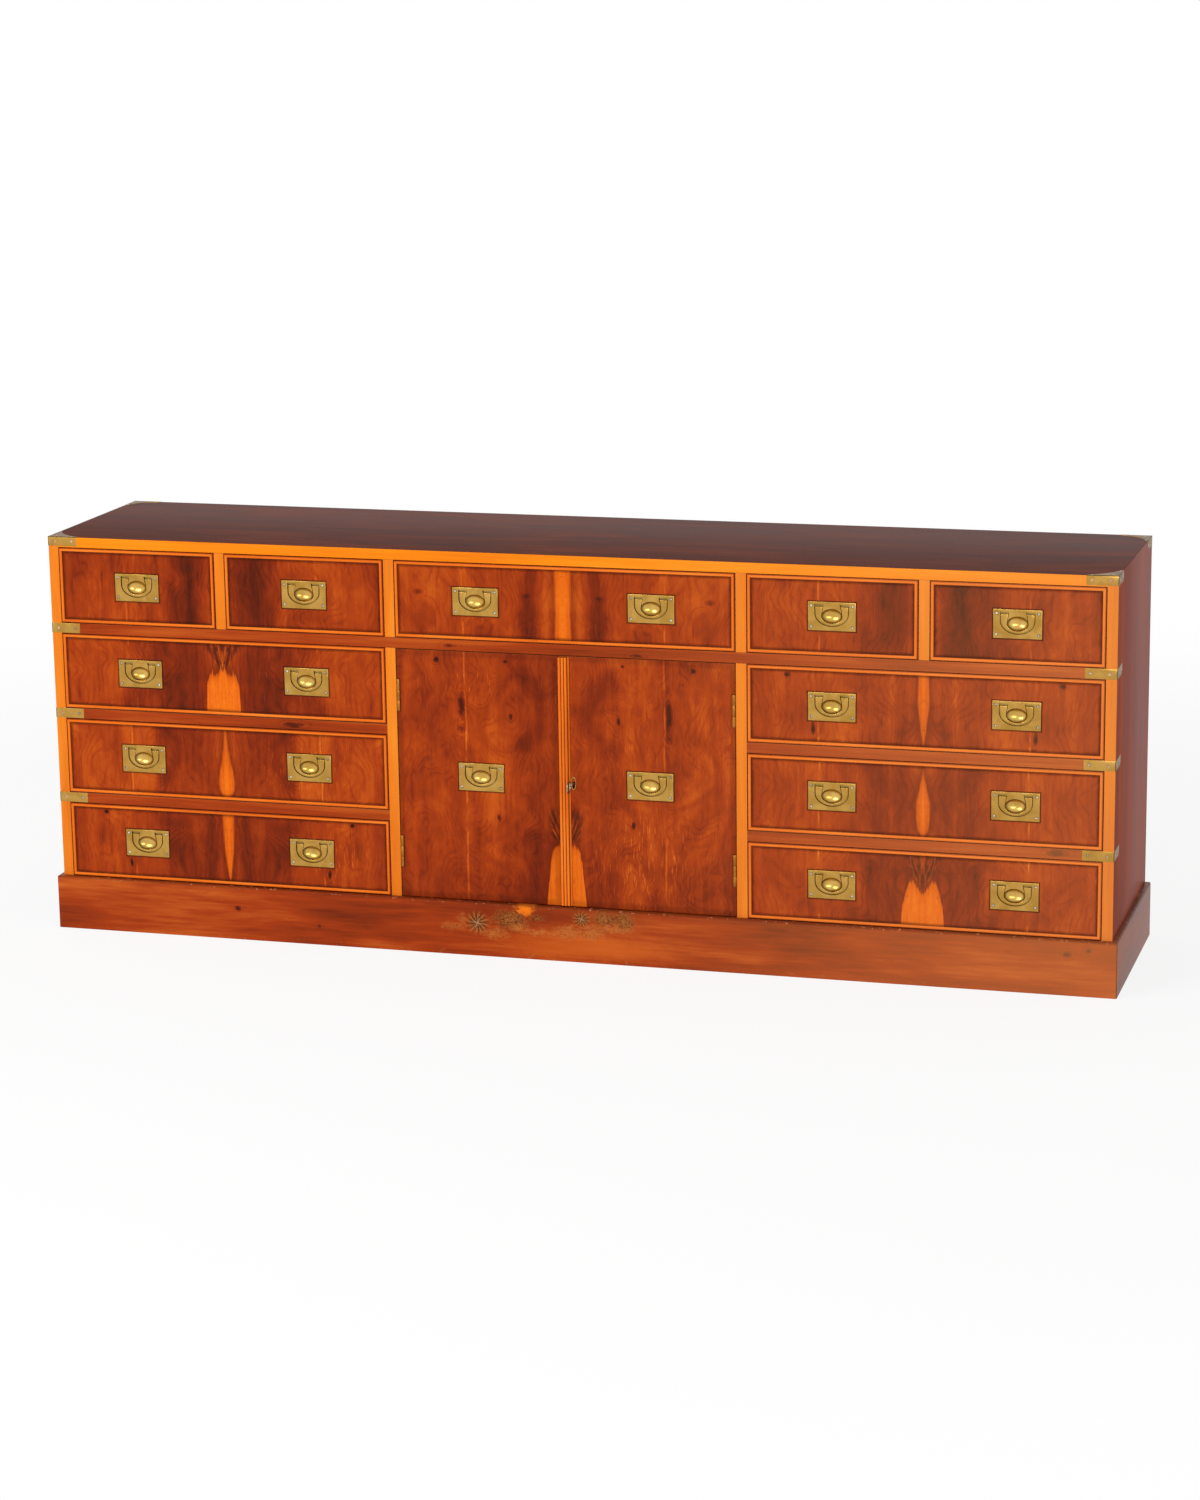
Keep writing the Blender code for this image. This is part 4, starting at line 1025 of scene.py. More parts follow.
figures = {
    "drawer_left_1": {
        "crown": [(0, 514), (1.0, 500), (2.4, 484), (5, 476), (9, 470), (13, 466), (16, 467),
                  (19, 472), (21, 471), (24, 466), (27, 458), (29, 447), (30.2, 430),
                  (30.6, 403), (32, 340)],
        "teeth": 0.026, "level": -0.03,
        "feather": (470, 530, 36, 0.2)},
    "drawer_left_2": {
        "level": 0.03, "eyes": [(0.120, 0.330, 0.030, 0.050)],
        "flame": [(250, 2), (256, 9), (264, 13), (280, 14.5), (298, 12), (318, 8), (342, 4),
                  (360, 2), (374, 1.2)],
        "fleckSpots": [(-0.475, 0.310, 0.12, 0.075)]},
    "drawer_left_3": {
        "flame": [(98, 0), (105, 2), (130, 5), (160, 9), (190, 10), (220, 10)],
        "knots": [(0.228, 0.213, 0.0052, 0.8, 1.0), (0.184, 0.124, 0.0034, 2.8, 1.0)],
        "level": -0.03, "fleckSpots": [(-0.415, 0.150, 0.08, 0.055)]},
    "drawer_right_1": {
        "flame": [(400, 0), (410, 2), (440, 6), (470, 10), (500, 10), (520, 10)],
        "knots": [(0.228, 0.514, 0.0052, 0.8, 0.8), (0.184, 0.424, 0.0040, 2.8, 1.0)]},
    "drawer_right_2": {
        "flame": [(250, 2), (262, 9), (285, 12), (310, 12), (330, 8), (350, 3), (370, 0)]},
    "drawer_right_3": {
        "crown": [(0, 156), (3, 158), (7, 163), (11, 170), (15, 176), (18, 178), (21, 175),
                  (25, 167), (29, 154), (32, 138), (34, 118), (35.4, 95), (36.5, 50)],
        "teeth": 0.024,
        "feather": (158, 226, 36, 0.1)},
    "door": {
        "crown": [(0, 196), (10, 198), (12, 201), (16, 200), (20, 198), (23, 194), (26, 186),
                  (28, 175), (29, 160), (30, 145), (32, 122), (34, 105), (36, 88), (37, 60)],
        "teeth": 0.026, "level": -0.02,
        "feather": (205, 264, 30, 0.9),
        "knots": [(0.224, 0.512, 0.0056, 1.0, 1.0), (0.102, 0.514, 0.0038, 0.8, 0.7),
                  (0.181, 0.436, 0.0062, 4.2, 0.6), (0.181, 0.394, 0.0085, 1.2, 0.45),
                  (0.094, 0.420, 0.0034, 2.0, 0.7), (0.118, 0.243, 0.0042, 1.6, 0.7)],
        "fleckSpots": [(0.150, 0.180, 0.13, 0.13), (-0.170, 0.470, 0.06, 0.05)],
        "eyes": [(0.084, 0.428, 0.046, 0.058)]},
    "drawer_top_1": {"level": -0.05},
    "drawer_top_2": {"level": -0.03},
    "drawer_top_5": {"level": -0.03},
    "drawer_top_3": {
        "flame": [(547, 13), (565, 15), (600, 12.5), (640, 14), (680, 14.5)],
        "knots": [(0.252, 0.627, 0.0100, 0.6, 0.35), (0.062, 0.627, 0.0080, 0.6, 0.30)]},
}


def bailsOf(carrier):
    stem = "bail_" + carrier.replace("drawer_", "")
    return sorted(name for name in box if name.startswith(stem))


def plateAt(bail):
    low, high = box[bail]
    return ((low.x + high.x) / 2, high.z - handleLook["bailTop"])


def flameShape(data):
    # a flame gives half widths up its height, a crown gives heights out from the middle
    crown = "crown" in data
    points = [point[::-1] for point in data["crown"]] if crown else data["flame"]
    low = min(height for height, width in points)
    tall = max(height for height, width in points) - low
    span = max(width for height, width in points)
    shape = [((height - low) / tall, width / span) for height, width in points]
    made = {"crown": crown, "low": low * mm, "tall": tall * mm, "span": span * mm,
            "teeth": data.get("teeth", 0.010),
            "shape": [point[::-1] for point in shape] if crown else shape}
    if "feather" in data:
        base, top, width, opened = data["feather"]
        made["feather"] = (base * mm, top * mm, width * mm, opened)
    return made


leafLook = {"scratches": 0.3, "flecks": 0.12, "field": (0.006, 0.0069),
            "drawer": {"swirl": 80.0, "paleLine": (0.175, 0.0022, 0.22), "edgeDirt": 0.62,
                       "lowDark": 0.0},
            "door": {"swirl": 120.0, "paleLine": (0.174, 0.0026, 0.22), "edgeDirt": 0.2,
                     "lowDark": 0.08}}


def figureLook(name, seed):
    kind = "door" if name in doorNames else "drawer"
    data = figures.get("door" if kind == "door" else name, {})
    low, high = box[name]
    middle = 0.0
    if "left_" in name or name in ("drawer_top_1", "drawer_top_2"):
        middle = -bankMiddle
    elif "right_" in name or name in ("drawer_top_4", "drawer_top_5"):
        middle = bankMiddle
    tone = rightTone if middle > 0 else bankTone
    if name.startswith("drawer_top"):
        tone = centreTone if name == "drawer_top_3" else smallTone
    elif kind == "door":
        tone = doorTone
    inset, lowInset = leafLook["field"]
    return {
        **leafLook[kind], "middle": middle, "seed": seed, "tone": tone,
        "scratches": leafLook["scratches"], "flecks": leafLook["flecks"],
        "fleckSpots": data.get("fleckSpots", []), "level": data.get("level", 0.0),
        "eyes": data.get("eyes", []), "knots": data.get("knots", []),
        "field": ((low.x + inset, low.z + lowInset), (high.x - inset, high.z - inset)),
        "plates": [plateAt(bail) for bail in bailsOf(name)],
        "flame": flameShape(data) if "flame" in data or "crown" in data else None,
    }


for number, name in enumerate(drawerNames + doorNames):
    finishes[name + "Veneer"] = yewVeneer(name + "Veneer", figureLook(name, 3.7 * number + 1.3))
print("figured veneers:", len(drawerNames + doorNames))


# Case boards
boardLook = {"soft": 0.5 * mm, "topSoft": 0.9 * mm, "mitre": 0.2 * mm, "room": 0.3 * mm,
             "lap": 60 * mm, "foot": 0.3 * mm}
uprights = ("partition_left", "partition_right")


def behindFront(middle, normal):
    # 0 on a board's front, 1 on its other faces
    return 0 if normal.y < -0.7 and middle.y < frontY + frontSlack else 1


def frontPiece(node, mesh, looks):
    addPiece(node + "Board", mesh, "case", looks, node, behindFront)


def boardPiece(node, looks):
    bm = bmesh.new()
    addBoard(bm, *box[node])
    soften(bm, boardLook["soft"], 2, before(frontY + mm))
    frontPiece(node, toMesh(node, bm), looks)


def rebated(name, bm):
    # cut out behind, where the back panel lies
    low, high = box["back_panel"]
    room = boardLook["room"]
    tool = shaped(name + "Rebate", addBoard,
                  ((low.x - room, low.y - room, plinthZ - boardT),
                   (high.x + room, backY + boardT, high.z + room)))
    return cutMesh(name, toMesh(name, bm), [tool])


def topBoard():
    under = topZ - boardT
    bm = bmesh.new()
    ends = [(-caseX, topZ), (-caseX + boardT, under), (caseX - boardT, under), (caseX, topZ)]
    addPrism(bm, ends, frontY, backY, "xz")
    soften(bm, boardLook["topSoft"], 3,
           lambda edge: all(v.co.z > topZ - tiny for v in edge.verts) and run(edge, 0) > longEdge)

    def rule(middle, normal):
        if normal.z > 0.5:
            return 0
        return 1 if normal.y < -0.3 else 2

    addPiece("topBoard", rebated("topBoard", bm), "case",
             ["topVeneer", "edgeSapwood", "carcassWood"], "top_panel", rule)


def sideBoard(node, side):
    low = plinthZ + boardLook["foot"]
    gapHere = boardLook["mitre"] * sqrt(2)
    shape = [(side * caseX, low), (side * caseX, topZ - gapHere),
             (side * (caseX - boardT), topZ - boardT - gapHere), (side * (caseX - boardT), low)]
    bm = bmesh.new()
    addPrism(bm, shape, frontY, backY, "xz")
    soften(bm, boardLook["soft"], 2,
           lambda edge: all(abs(v.co.x) > caseX - tiny for v in edge.verts)
           and run(edge, 2) > longEdge)

    def rule(middle, normal):
        if normal.y < -0.7:
            return 1
        return 0 if normal.x * side > 0.3 else 2

    addPiece(node + "Board", rebated(node + "Board", bm), "case",
             ["sideVeneer", "stileSapwood", "carcassUpright"], node, rule)


def innerBoards():
    # uprights, dividers and rails: one mesh for each CAD node, front edge veneered
    uprightLooks, railLooks = ["stileSapwood", "carcassUpright"], ["railVeneer", "carcassWood"]
    railLow, railHigh = box["upper_rail"]
    room, lap = boardLook["room"], boardLook["lap"]
    for node in uprights:
        low, high = box[node]
        notchBack = frontY + lap + room
        shape = [(frontY, low.z), (high.y, low.z), (high.y, high.z), (frontY, high.z),
                 (frontY, railHigh.z + room), (notchBack, railHigh.z + room),
                 (notchBack, railLow.z - room), (frontY, railLow.z - room)]
        frontPiece(node, shaped(node, addPrism, (shape, low.x, high.x, "yz")),
                   uprightLooks)
    for node in ("top_divider_left", "top_divider_right"):
        boardPiece(node, uprightLooks)
    for node in ("left_rail_upper", "left_rail_lower", "right_rail_upper", "right_rail_lower"):
        boardPiece(node, railLooks)

    # the upper rail runs the whole width in front, with dust boards between the uprights
    backs = railHigh.y
    shoulder = railLow.y + lap
    shape = [(railLow.x, railLow.y), (railHigh.x, railLow.y), (railHigh.x, backs)]
    for node in reversed(uprights):
        slotLow, slotHigh = box[node][0].x - room, box[node][1].x + room
        shape += [(slotHigh, backs), (slotHigh, shoulder), (slotLow, shoulder), (slotLow, backs)]
    shape.append((railLow.x, backs))
    addPiece("upperRailBoard", shaped("upperRail", addPrism, (shape, railLow.z, railHigh.z, "xy")),
             "case", railLooks, "upper_rail", behindFront)


plinthLook = {"board": 18 * mm, "round": 3 * mm, "mitre": 0.15 * mm, "steps": 5}


def plinthBoards():
    outX, outY = box["plinth_right"][1].x, box["plinth_front"][0].y
    thick, gapHere = plinthLook["board"], plinthLook["mitre"]
    inX, inY = outX - thick, outY + thick

    def wanted(edge):
        one, other = edge.verts[0].co, edge.verts[1].co
        inFront = max(one.y, other.y) < outY + tiny and max(one.z, other.z) > 10 * mm
        atEnd = run(edge, 0) < tiny and min(one.z, other.z) > plinthZ - tiny
        return inFront or atEnd

    # a front board keeps what lies before the mitre, a side board what lies behind
    cuts = {
        "plinth_front": [((0, inY, 0), (0, 1, 0)), ((outX, outY - gapHere, 0), (1, 1, 0)),
                         ((-outX, outY - gapHere, 0), (-1, 1, 0))],
        "plinth_right": [((inX, 0, 0), (-1, 0, 0)), ((outX, outY + gapHere, 0), (-1, -1, 0))],
        "plinth_left": [((-inX, 0, 0), (1, 0, 0)), ((-outX, outY + gapHere, 0), (1, -1, 0))],
    }
    for node, planes in cuts.items():
        bm = bmesh.new()
        addBoard(bm, (-outX, outY, 0), (outX, backY, plinthZ))
        soften(bm, plinthLook["round"], plinthLook["steps"], wanted)
        for point, away in planes:
            cut = bmesh.ops.bisect_plane(
                bm, geom=bm.verts[:] + bm.edges[:] + bm.faces[:], dist=1e-6, plane_co=point,
                plane_no=Vector(away).normalized(), clear_outer=True)["geom_cut"]
            rim = [item for item in cut if isinstance(item, bmesh.types.BMEdge)]
            bmesh.ops.edgeloop_fill(bm, edges=rim)
        bmesh.ops.recalc_face_normals(bm, faces=bm.faces)
        addPiece(node + "Board", toMesh(node, bm, 40), "case",
                 ["plinthVeneer" if node == "plinth_front" else "plinthSide"], node)


topBoard()
sideBoard("side_left", -1)
sideBoard("side_right", 1)
innerBoards()
plinthBoards()
for name, look in (("bottom_board", "carcassWood"), ("back_panel", "backPlywood"),
                   ("plinth_back", "carcassWood")):
    kept = frame["nodes"][name]
    kept.data.materials.clear()
    kept.data.materials.append(finishes[look])
print("case boards made")


# Brass corners and straps, with their screws
cornerLook = {"leg": 52 * mm, "deep": 0.9 * mm, "proud": 0.3 * mm, "height": 16 * mm,
              "tip": 4 * mm, "throat": 22 * mm, "strap": 17 * mm, "round": (14 * mm, 10 * mm),
              "soft": 0.22 * mm, "steps": 20, "screws": (12 * mm, 43 * mm),
              "topScrews": ((11 * mm, 11 * mm), (43 * mm, 3.8 * mm), (3.8 * mm, 43 * mm))}
screwLook = {"radius": 2.4 * mm, "height": 0.35 * mm, "slot": 0.6 * mm, "deep": 0.3 * mm,
             "rim": 0.35 * mm, "sink": 0.7 * mm}
backLook = {"across": 12, "inset": 14 * mm, "sink": 0.45 * mm}


def legShape(top, height, start, end):
    # seen from the end of the case: the far lower corner is rounded off
    wide, tall = cornerLook["round"]
    curve = arc((end - wide, top - height + tall), (wide, tall), -pi / 2, 0, 10)
    return [(start, top), (start, top - height)] + curve + [(end, top)]


def hollowLeg():
    # the leg on the top, its inner edge a hollow curve
    look = cornerLook
    leg, tip, throat, proud = look["leg"], look["tip"], look["throat"], look["proud"]
    reach = (leg ** 2 + tip ** 2 - 2 * throat ** 2) / (2 * (leg + tip) - 4 * throat)
    radius = sqrt(2) * (reach - throat)
    start = pi + atan2(reach - tip, reach - leg)
    end = pi + atan2(reach - leg, reach - tip)
    hollow = arc((reach, reach), (radius, radius), start, end, look["steps"])
    return [(-proud, -proud), (leg, -proud)] + hollow + [(-proud, leg)]


def brassPart(name, outline, low, high, plane, spots):
    # a flat of brass with a sunk place for each screw
    bm = bmesh.new()
    addPrism(bm, outline, low, high, plane)
    soften(bm, cornerLook["soft"], 2)
    axis = {"xy": "z", "xz": "y", "yz": "x"}[plane]
    radius, sink = screwLook["radius"] + screwLook["rim"], screwLook["sink"]
    sinks = [(place, radius, 2 * sink, axis, 24) for place in spots]
    return cutMesh(name, toMesh(name, bm, 40), [shaped(name + "Sinks", addRod, *sinks)], 40)


def sunk(spots, facing):
    # the foot of each screw, at the bottom of its sink
    return [(Vector(place) - Vector(facing) * screwLook["sink"], facing) for place in spots]


def bracket(name, side, top, height, screwZ, node=None, way=-1):
    # brass round a front or back edge; a corner, which has a node, also goes over the top
    look = cornerLook
    leg, deep, proud = look["leg"], look["deep"], look["proud"]

    def x(inward):
        return side * (caseX - inward)

    def y(inward):
        return (frontY + backY) / 2 + way * ((backY - frontY) / 2 - inward)

    parts, spots = [], []
    if node:
        topSpots = [(x(u), y(v), top) for u, v in look["topScrews"]]
        flat = [(x(u), y(v)) for u, v in hollowLeg()]
        parts.append(brassPart("top", flat, topZ - deep, top, "xy", topSpots))
        spots += sunk(topSpots, (0, 0, 1))
    low, high = sorted((x(-proud), x(leg)))
    longSpots = [(x(away), y(-proud), screwZ) for away in look["screws"]]
    parts.append(brassPart("long", oblong((low, top - height), (high, top)),
                           *sorted((y(-proud), y(deep))), "xz", longSpots))
    endSpots = [(x(-proud), y(away), screwZ) for away in look["screws"]]
    shape = [(y(away), z) for away, z in legShape(top, height, -proud, leg)]
    parts.append(brassPart("end", shape, *sorted((x(-proud), x(deep))), "yz", endSpots))
    addPiece(name, merged(name, parts), "case", ["agedBrass", "endBrass"], node,
             lambda middle, normal: 0 if normal.y < -0.7 else 1)
    return spots + sunk(longSpots, (0, way, 0)) + sunk(endSpots, (side, 0, 0))


def putScrews(name, body, spots, radius=None):
    mesh = grown(name, spotMesh(name, spots), screws, finishes["screwSteel"],
                 {"Radius": radius or screwLook["radius"], "Height": screwLook["height"],
                  "Slot Width": screwLook["slot"], "Slot Depth": screwLook["deep"],
                  "Seed": len(spots) + len(name)})
    addPiece(name, smoothed(name, mesh, 30), body, ["screwSteel"])


def backSpots():
    low, high = box["back_panel"]
    inset = backLook["inset"]
    spots = []
    for step in range(backLook["across"] + 1):
        x = low.x + inset + step / backLook["across"] * (high.x - low.x - 2 * inset)
        for z in (low.z + inset, high.z - inset):
            spots.append(((x, high.y - backLook["sink"], z), (0, 1, 0)))
    return spots


caseSpots = []
for endName, way in (("front", -1), ("back", 1)):
    for sideName, side in (("left", -1), ("right", 1)):
        node = f"corner_{endName}_{sideName}"
        caseSpots += bracket(node + "Brass", side, topZ + cornerLook["proud"],
                             cornerLook["height"] + cornerLook["proud"],
                             topZ - cornerLook["height"] / 2, node, way)
for sideName, side in (("left", -1), ("right", 1)):
    for level, middle in railZ.items():
        caseSpots += bracket(f"strap_{sideName}_{level}", side, middle + cornerLook["strap"] / 2,
                             cornerLook["strap"], middle)
caseSpots += backSpots()
putScrews("caseScrews", "case", caseSpots)
print("brass corners and straps made, screws:", len(caseSpots))


# Drawers
drawerLook = {"front": 18 * mm, "side": 10 * mm, "bottom": 4 * mm, "rise": 8 * mm,
              "sideHigh": 118.7 * mm, "bead": 6 * mm, "proud": 2.5 * mm, "under": 0.9 * mm,
              "beadSteps": 10, "beadLap": 0.1 * mm, "soft": 0.8 * mm, "groove": 0.5 * mm,
              "bottomIn": 0.2 * mm}


def closedRings(bm, rings):
    # faces between each ring of corners and the next, and from the last to the first
    for number, ring in enumerate(rings):
        after = rings[(number + 1) % len(rings)]
        for corner in range(len(ring)):
            other = (corner + 1) % len(ring)
            bm.faces.new((ring[corner], ring[other], after[other], after[corner]))


def beadFrame(name, low, high, backY):
    # a half-round strip mitred round the front, running back through its thickness
    look = drawerLook
    halfWide = look["bead"] / 2
    nose = arc((halfWide, frontY), (halfWide - 0.2 * mm, look["proud"]), pi, 2 * pi,
               look["beadSteps"])
    profile = [(0.0, backY), (0.0, frontY + 0.2 * mm)] + nose + [
        (look["bead"], frontY + 0.6 * mm), (look["bead"], backY)]
    bm = bmesh.new()
    across = bm.verts.layers.float.new("across")
    rings = []
    for inward, y in profile:
        corners = oblong((low[0] + inward, low[1] + inward), (high[0] - inward, high[1] - inward))
        rings.append([bm.verts.new((x, y, z)) for x, z in corners])
        for vert in rings[-1]:
            vert[across] = inward / look["bead"]
    closedRings(bm, rings)
    bmesh.ops.recalc_face_normals(bm, faces=bm.faces)
    return toMesh(name, bm, 40)


def pocketTool(plates):
    wide, tall = handleLook["plate"][0] / 2, handleLook["plate"][1] / 2
    return shaped("pocket", addBoard, *[
        ((plateX - wide, frontY - throughFront, plateZ - tall),
         (plateX + wide, frontY + handleLook["plateDeep"], plateZ + tall))
        for plateX, plateZ in plates])


def drawerPieces(name):
    look = drawerLook
    low, high = box[name]
    x0, x1, z0, z1 = low.x, high.x, low.z + look["under"], high.z
    inside = frontY + look["front"]
    plates = [plateAt(bail) for bail in bailsOf(name)]

    inset = look["bead"] - look["beadLap"]
    front = shaped(name, addBoard, ((x0 + inset, frontY, z0 + inset),
                                    (x1 - inset, inside, z1 - inset)))
    addPiece(name + "Front", cutMesh(name + "Front", front, [pocketTool(plates)]), name,
             [name + "Veneer", "drawerLining"], name, behindFront)

    def beadRule(middle, normal):
        # the upright lengths lie beyond the mitres
        besideX = min(middle.x - x0, x1 - middle.x)
        besideZ = min(middle.z - z0, z1 - middle.z)
        return 0 if besideX < besideZ else 1

    addPiece(name + "Bead", beadFrame(name + "Bead", (x0, z0), (x1, z1), inside), name,
             ["beadUpright", "beadLong"], None, beadRule)

    side, bottom, groove = look["side"], look["bottom"], look["groove"]
    under = low.z + look["rise"]
    top = low.z + look["sideHigh"]
    bm = bmesh.new()
    addBoard(bm, (x0, inside, low.z), (x0 + side, high.y, top))
    addBoard(bm, (x1 - side, inside, low.z), (x1, high.y, top))
    addBoard(bm, (x0 + side, high.y - side, under + bottom), (x1 - side, high.y, top))
    soften(bm, look["soft"], 2, lambda edge: all(v.co.z > top - tiny for v in edge.verts))

    def boxRule(middle, normal):
        return 1 if min(middle.x - x0, x1 - middle.x) < side + 0.1 * mm else 0

    addPiece(name + "Box", toMesh(name, bm), name, ["drawerLining", "drawerSide"],
             None, boxRule)
    base = shaped(name, addBoard, ((x0 + side - groove, inside - groove, under),
                                   (x1 - side + groove, high.y - look["bottomIn"], under + bottom)))
    addPiece(name + "Bottom", base, name, ["drawerBottom"])
    handlePieces(name, plates)


def handlePieces(carrier, plates):
    look = handleLook

    def rule(middle, normal):
        # the polished hollow, but not the bed round it
        for x, z in plates:
            across = (middle.x - x) / look["bowl"][0]
            up = (middle.z - z - look["bowlUp"]) / look["bowl"][1]
            if across ** 2 + up ** 2 < look["ridge"] ** 2 and middle.y > frontY:
                return 1
        return 0

    places = [(x, frontY, z) for x, z in plates]
    addPiece(carrier + "Plates", merged(carrier, [platePatternMesh] * len(plates), places, 35),
             carrier, ["plateBrass", "bowlBrass"], None, rule)
    spots = [((x + placeX, frontY - look["proud"] + look["screwSet"], z + placeZ), (0, -1, 0))
             for x, z in plates for placeX, placeZ in screwPlaces]
    putScrews(carrier + "Screws", carrier, spots, look["screwR"])
    for bail, place in zip(bailsOf(carrier), places):
        addPiece(bail + "Bail", merged(bail, [bailPatternMesh], [place]), bail,
                 ["bailBrass"], bail)


for name in drawerNames:
    drawerPieces(name)
print("drawers made:", len(drawerNames))


# Doors
doorLook = {"thick": 18 * mm, "gap": 1.5 * mm, "meeting": 1.2 * mm, "strip": 19 * mm,
            "fillet": 2.8 * mm, "filletProud": 1.5 * mm, "endGap": 1.5 * mm, "reeds": 3,
            "reedBase": 3.0 * mm, "reedProud": 2.5 * mm, "soft": 0.6 * mm, "stripSoft": 0.3 * mm}
hingeLook = {"long": 55 * mm, "inset": 52 * mm, "radius": 3.0 * mm, "setback": 2.2 * mm,
             "leaf": 0.9 * mm, "leafDeep": 25 * mm, "ease": 0.5 * mm, "gap": 0.3 * mm,
             "pin": 1.2 * mm, "sides": 40, "soft": 0.25 * mm, "letIn": 0.1 * mm,
             "leafSoft": 0.2 * mm, "pinOut": 0.6 * mm,
             "doorLeaf": (1.5 * mm, 15 * mm), "screwY": 9.5 * mm, "screws": (0.2, 0.5, 0.8)}
lockLook = {"x": 14.6 * mm, "z": 310 * mm, "wide": 9.2 * mm, "tall": 22 * mm, "proud": 0.8 * mm,
            "rim": 1.2 * mm, "well": 0.6 * mm, "deep": 3.4 * mm, "soft": 0.35 * mm,
            "plate": (46 * mm, 60 * mm), "plateIn": 3 * mm, "plateProud": 0.6 * mm,
            "plateLap": 0.5 * mm, "plateScrews": 6 * mm, "hole": 2.6 * mm, "slit": 1.5 * mm,
            "drop": 8.9 * mm, "holeRoom": 0.4 * mm, "pocket": 10 * mm, "pocketLow": 8.5 * mm,
            "pocketHigh": 14.5 * mm, "sides": 40}
smallScrew = 2.0 * mm
doorLow = plinthZ + doorLook["gap"]
doorHigh = box["upper_rail"][0].z - doorLook["gap"]
bayHalf = box["partition_right"][0].x
doorEdge = bayHalf - doorLook["gap"]
hingeX = doorEdge - hingeLook["setback"]
hingeLows = {"lower": doorLow + hingeLook["inset"],
             "upper": doorHigh - hingeLook["inset"] - hingeLook["long"]}


def lockPlate(edgeX):
    # the lock's brass plate on the back of the door
    lock = lockLook
    wide, tall = lock["plate"]
    back = frontY + doorLook["thick"]
    low = (edgeX + lock["plateIn"], lock["z"] - tall / 2)
    high = (low[0] + wide, low[1] + tall)
    inset = lock["plateScrews"]
    spots = [((x, back + lock["plateProud"], z), (0, 1, 0))
             for x in (low[0] + inset, high[0] - inset) for z in (low[1] + inset, high[1] - inset)]
    plate = brassPart("lockPlate", oblong(low, high), back - lock["plateLap"],
                      back + lock["plateProud"], "xz", [])
    addPiece("lockPlate", plate, "door_right", ["agedBrass"])
    putScrews("lockScrews", "door_right", spots, smallScrew)


def keyholeShape(ease=0.0):
    # a round hole over a narrow slit, about the lock's place
    lock = lockLook
    radius, slit = lock["hole"] + ease, lock["slit"] + ease
    turn = atan2(sqrt(radius ** 2 - slit ** 2), slit)
    hole = arc((lock["x"], lock["z"]), (radius, radius), -turn, pi + turn, 24)
    foot = lock["z"] - lock["drop"] - ease
    return hole + [(lock["x"] - slit, foot), (lock["x"] + slit, foot)]


def knuckle(bm, side, middle):
    hinge = hingeLook
    addRod(bm, (side * hingeX, frontY, middle), hinge["radius"],
           hinge["long"] / 3 - 2 * hinge["gap"], "z", hinge["sides"])


def doorBoard(name, side, low, high, plates):
    hinge, lock = hingeLook, lockLook
    bm = bmesh.new()
    addBoard(bm, (low, frontY, doorLow), (high, frontY + doorLook["thick"], doorHigh))
    soften(bm, doorLook["soft"], 2, before(frontY + mm))
    notches = [((side * hingeX, frontY, foot + hinge["long"] / 2), hinge["radius"] + hinge["ease"],
                hinge["long"] + 4 * hinge["gap"], "z", hinge["sides"]) for foot in hingeLows.values()]
    tools = [pocketTool(plates), shaped("notches", addRod, *notches)]
    if side > 0:
        depth = (lock["pocketLow"] + lock["pocketHigh"]) / 2
        pocket = ((lock["x"], frontY + depth, lock["z"]), lock["pocket"],
                  lock["pocketHigh"] - lock["pocketLow"], "y", lock["sides"])
        hole = (keyholeShape(lock["holeRoom"]), frontY - throughFront, frontY + depth, "xz")
        tools += [shaped("pocket", addRod, pocket), shaped("keyhole", addPrism, hole)]
    addPiece(name + "Board", cutMesh(name, toMesh(name, bm), tools), name,
             [name + "Veneer", "doorBack"], name, behindFront)


def doorLeaves(name, side):
    hinge = hingeLook
    outX = side * (doorEdge + hinge["letIn"])
    low, high = sorted((outX, side * (doorEdge - hinge["leaf"])))
    start, end = hinge["doorLeaf"]
    parts, spots = [], []
    for foot in hingeLows.values():
        bm = bmesh.new()
        knuckle(bm, side, foot + hinge["long"] / 2)
        soften(bm, hinge["soft"], 2, sharper=1.2)
        addBoard(bm, (low, frontY + start, foot), (high, frontY + end, foot + hinge["long"]))
        parts.append(toMesh(name, bm, 40))
        spots += [((outX, frontY + hinge["screwY"], foot + share * hinge["long"]), (side, 0, 0))
                  for share in hinge["screws"]]
    addPiece(name + "Leaves", merged(name, parts), name, ["hingeBrass"])
    putScrews(name + "LeafScrews", name, spots, smallScrew)


def doorPieces(name, side):
    strip = doorLook["strip"] / 2
    inner = -strip if side > 0 else strip + doorLook["meeting"]
    low, high = sorted((side * doorEdge, side * inner))
    plates = [plateAt(bail) for bail in bailsOf(name)]
    doorBoard(name, side, low, high, plates)
    handlePieces(name, plates)
    if side > 0:
        lockPlate(low)
    doorLeaves(name, side)


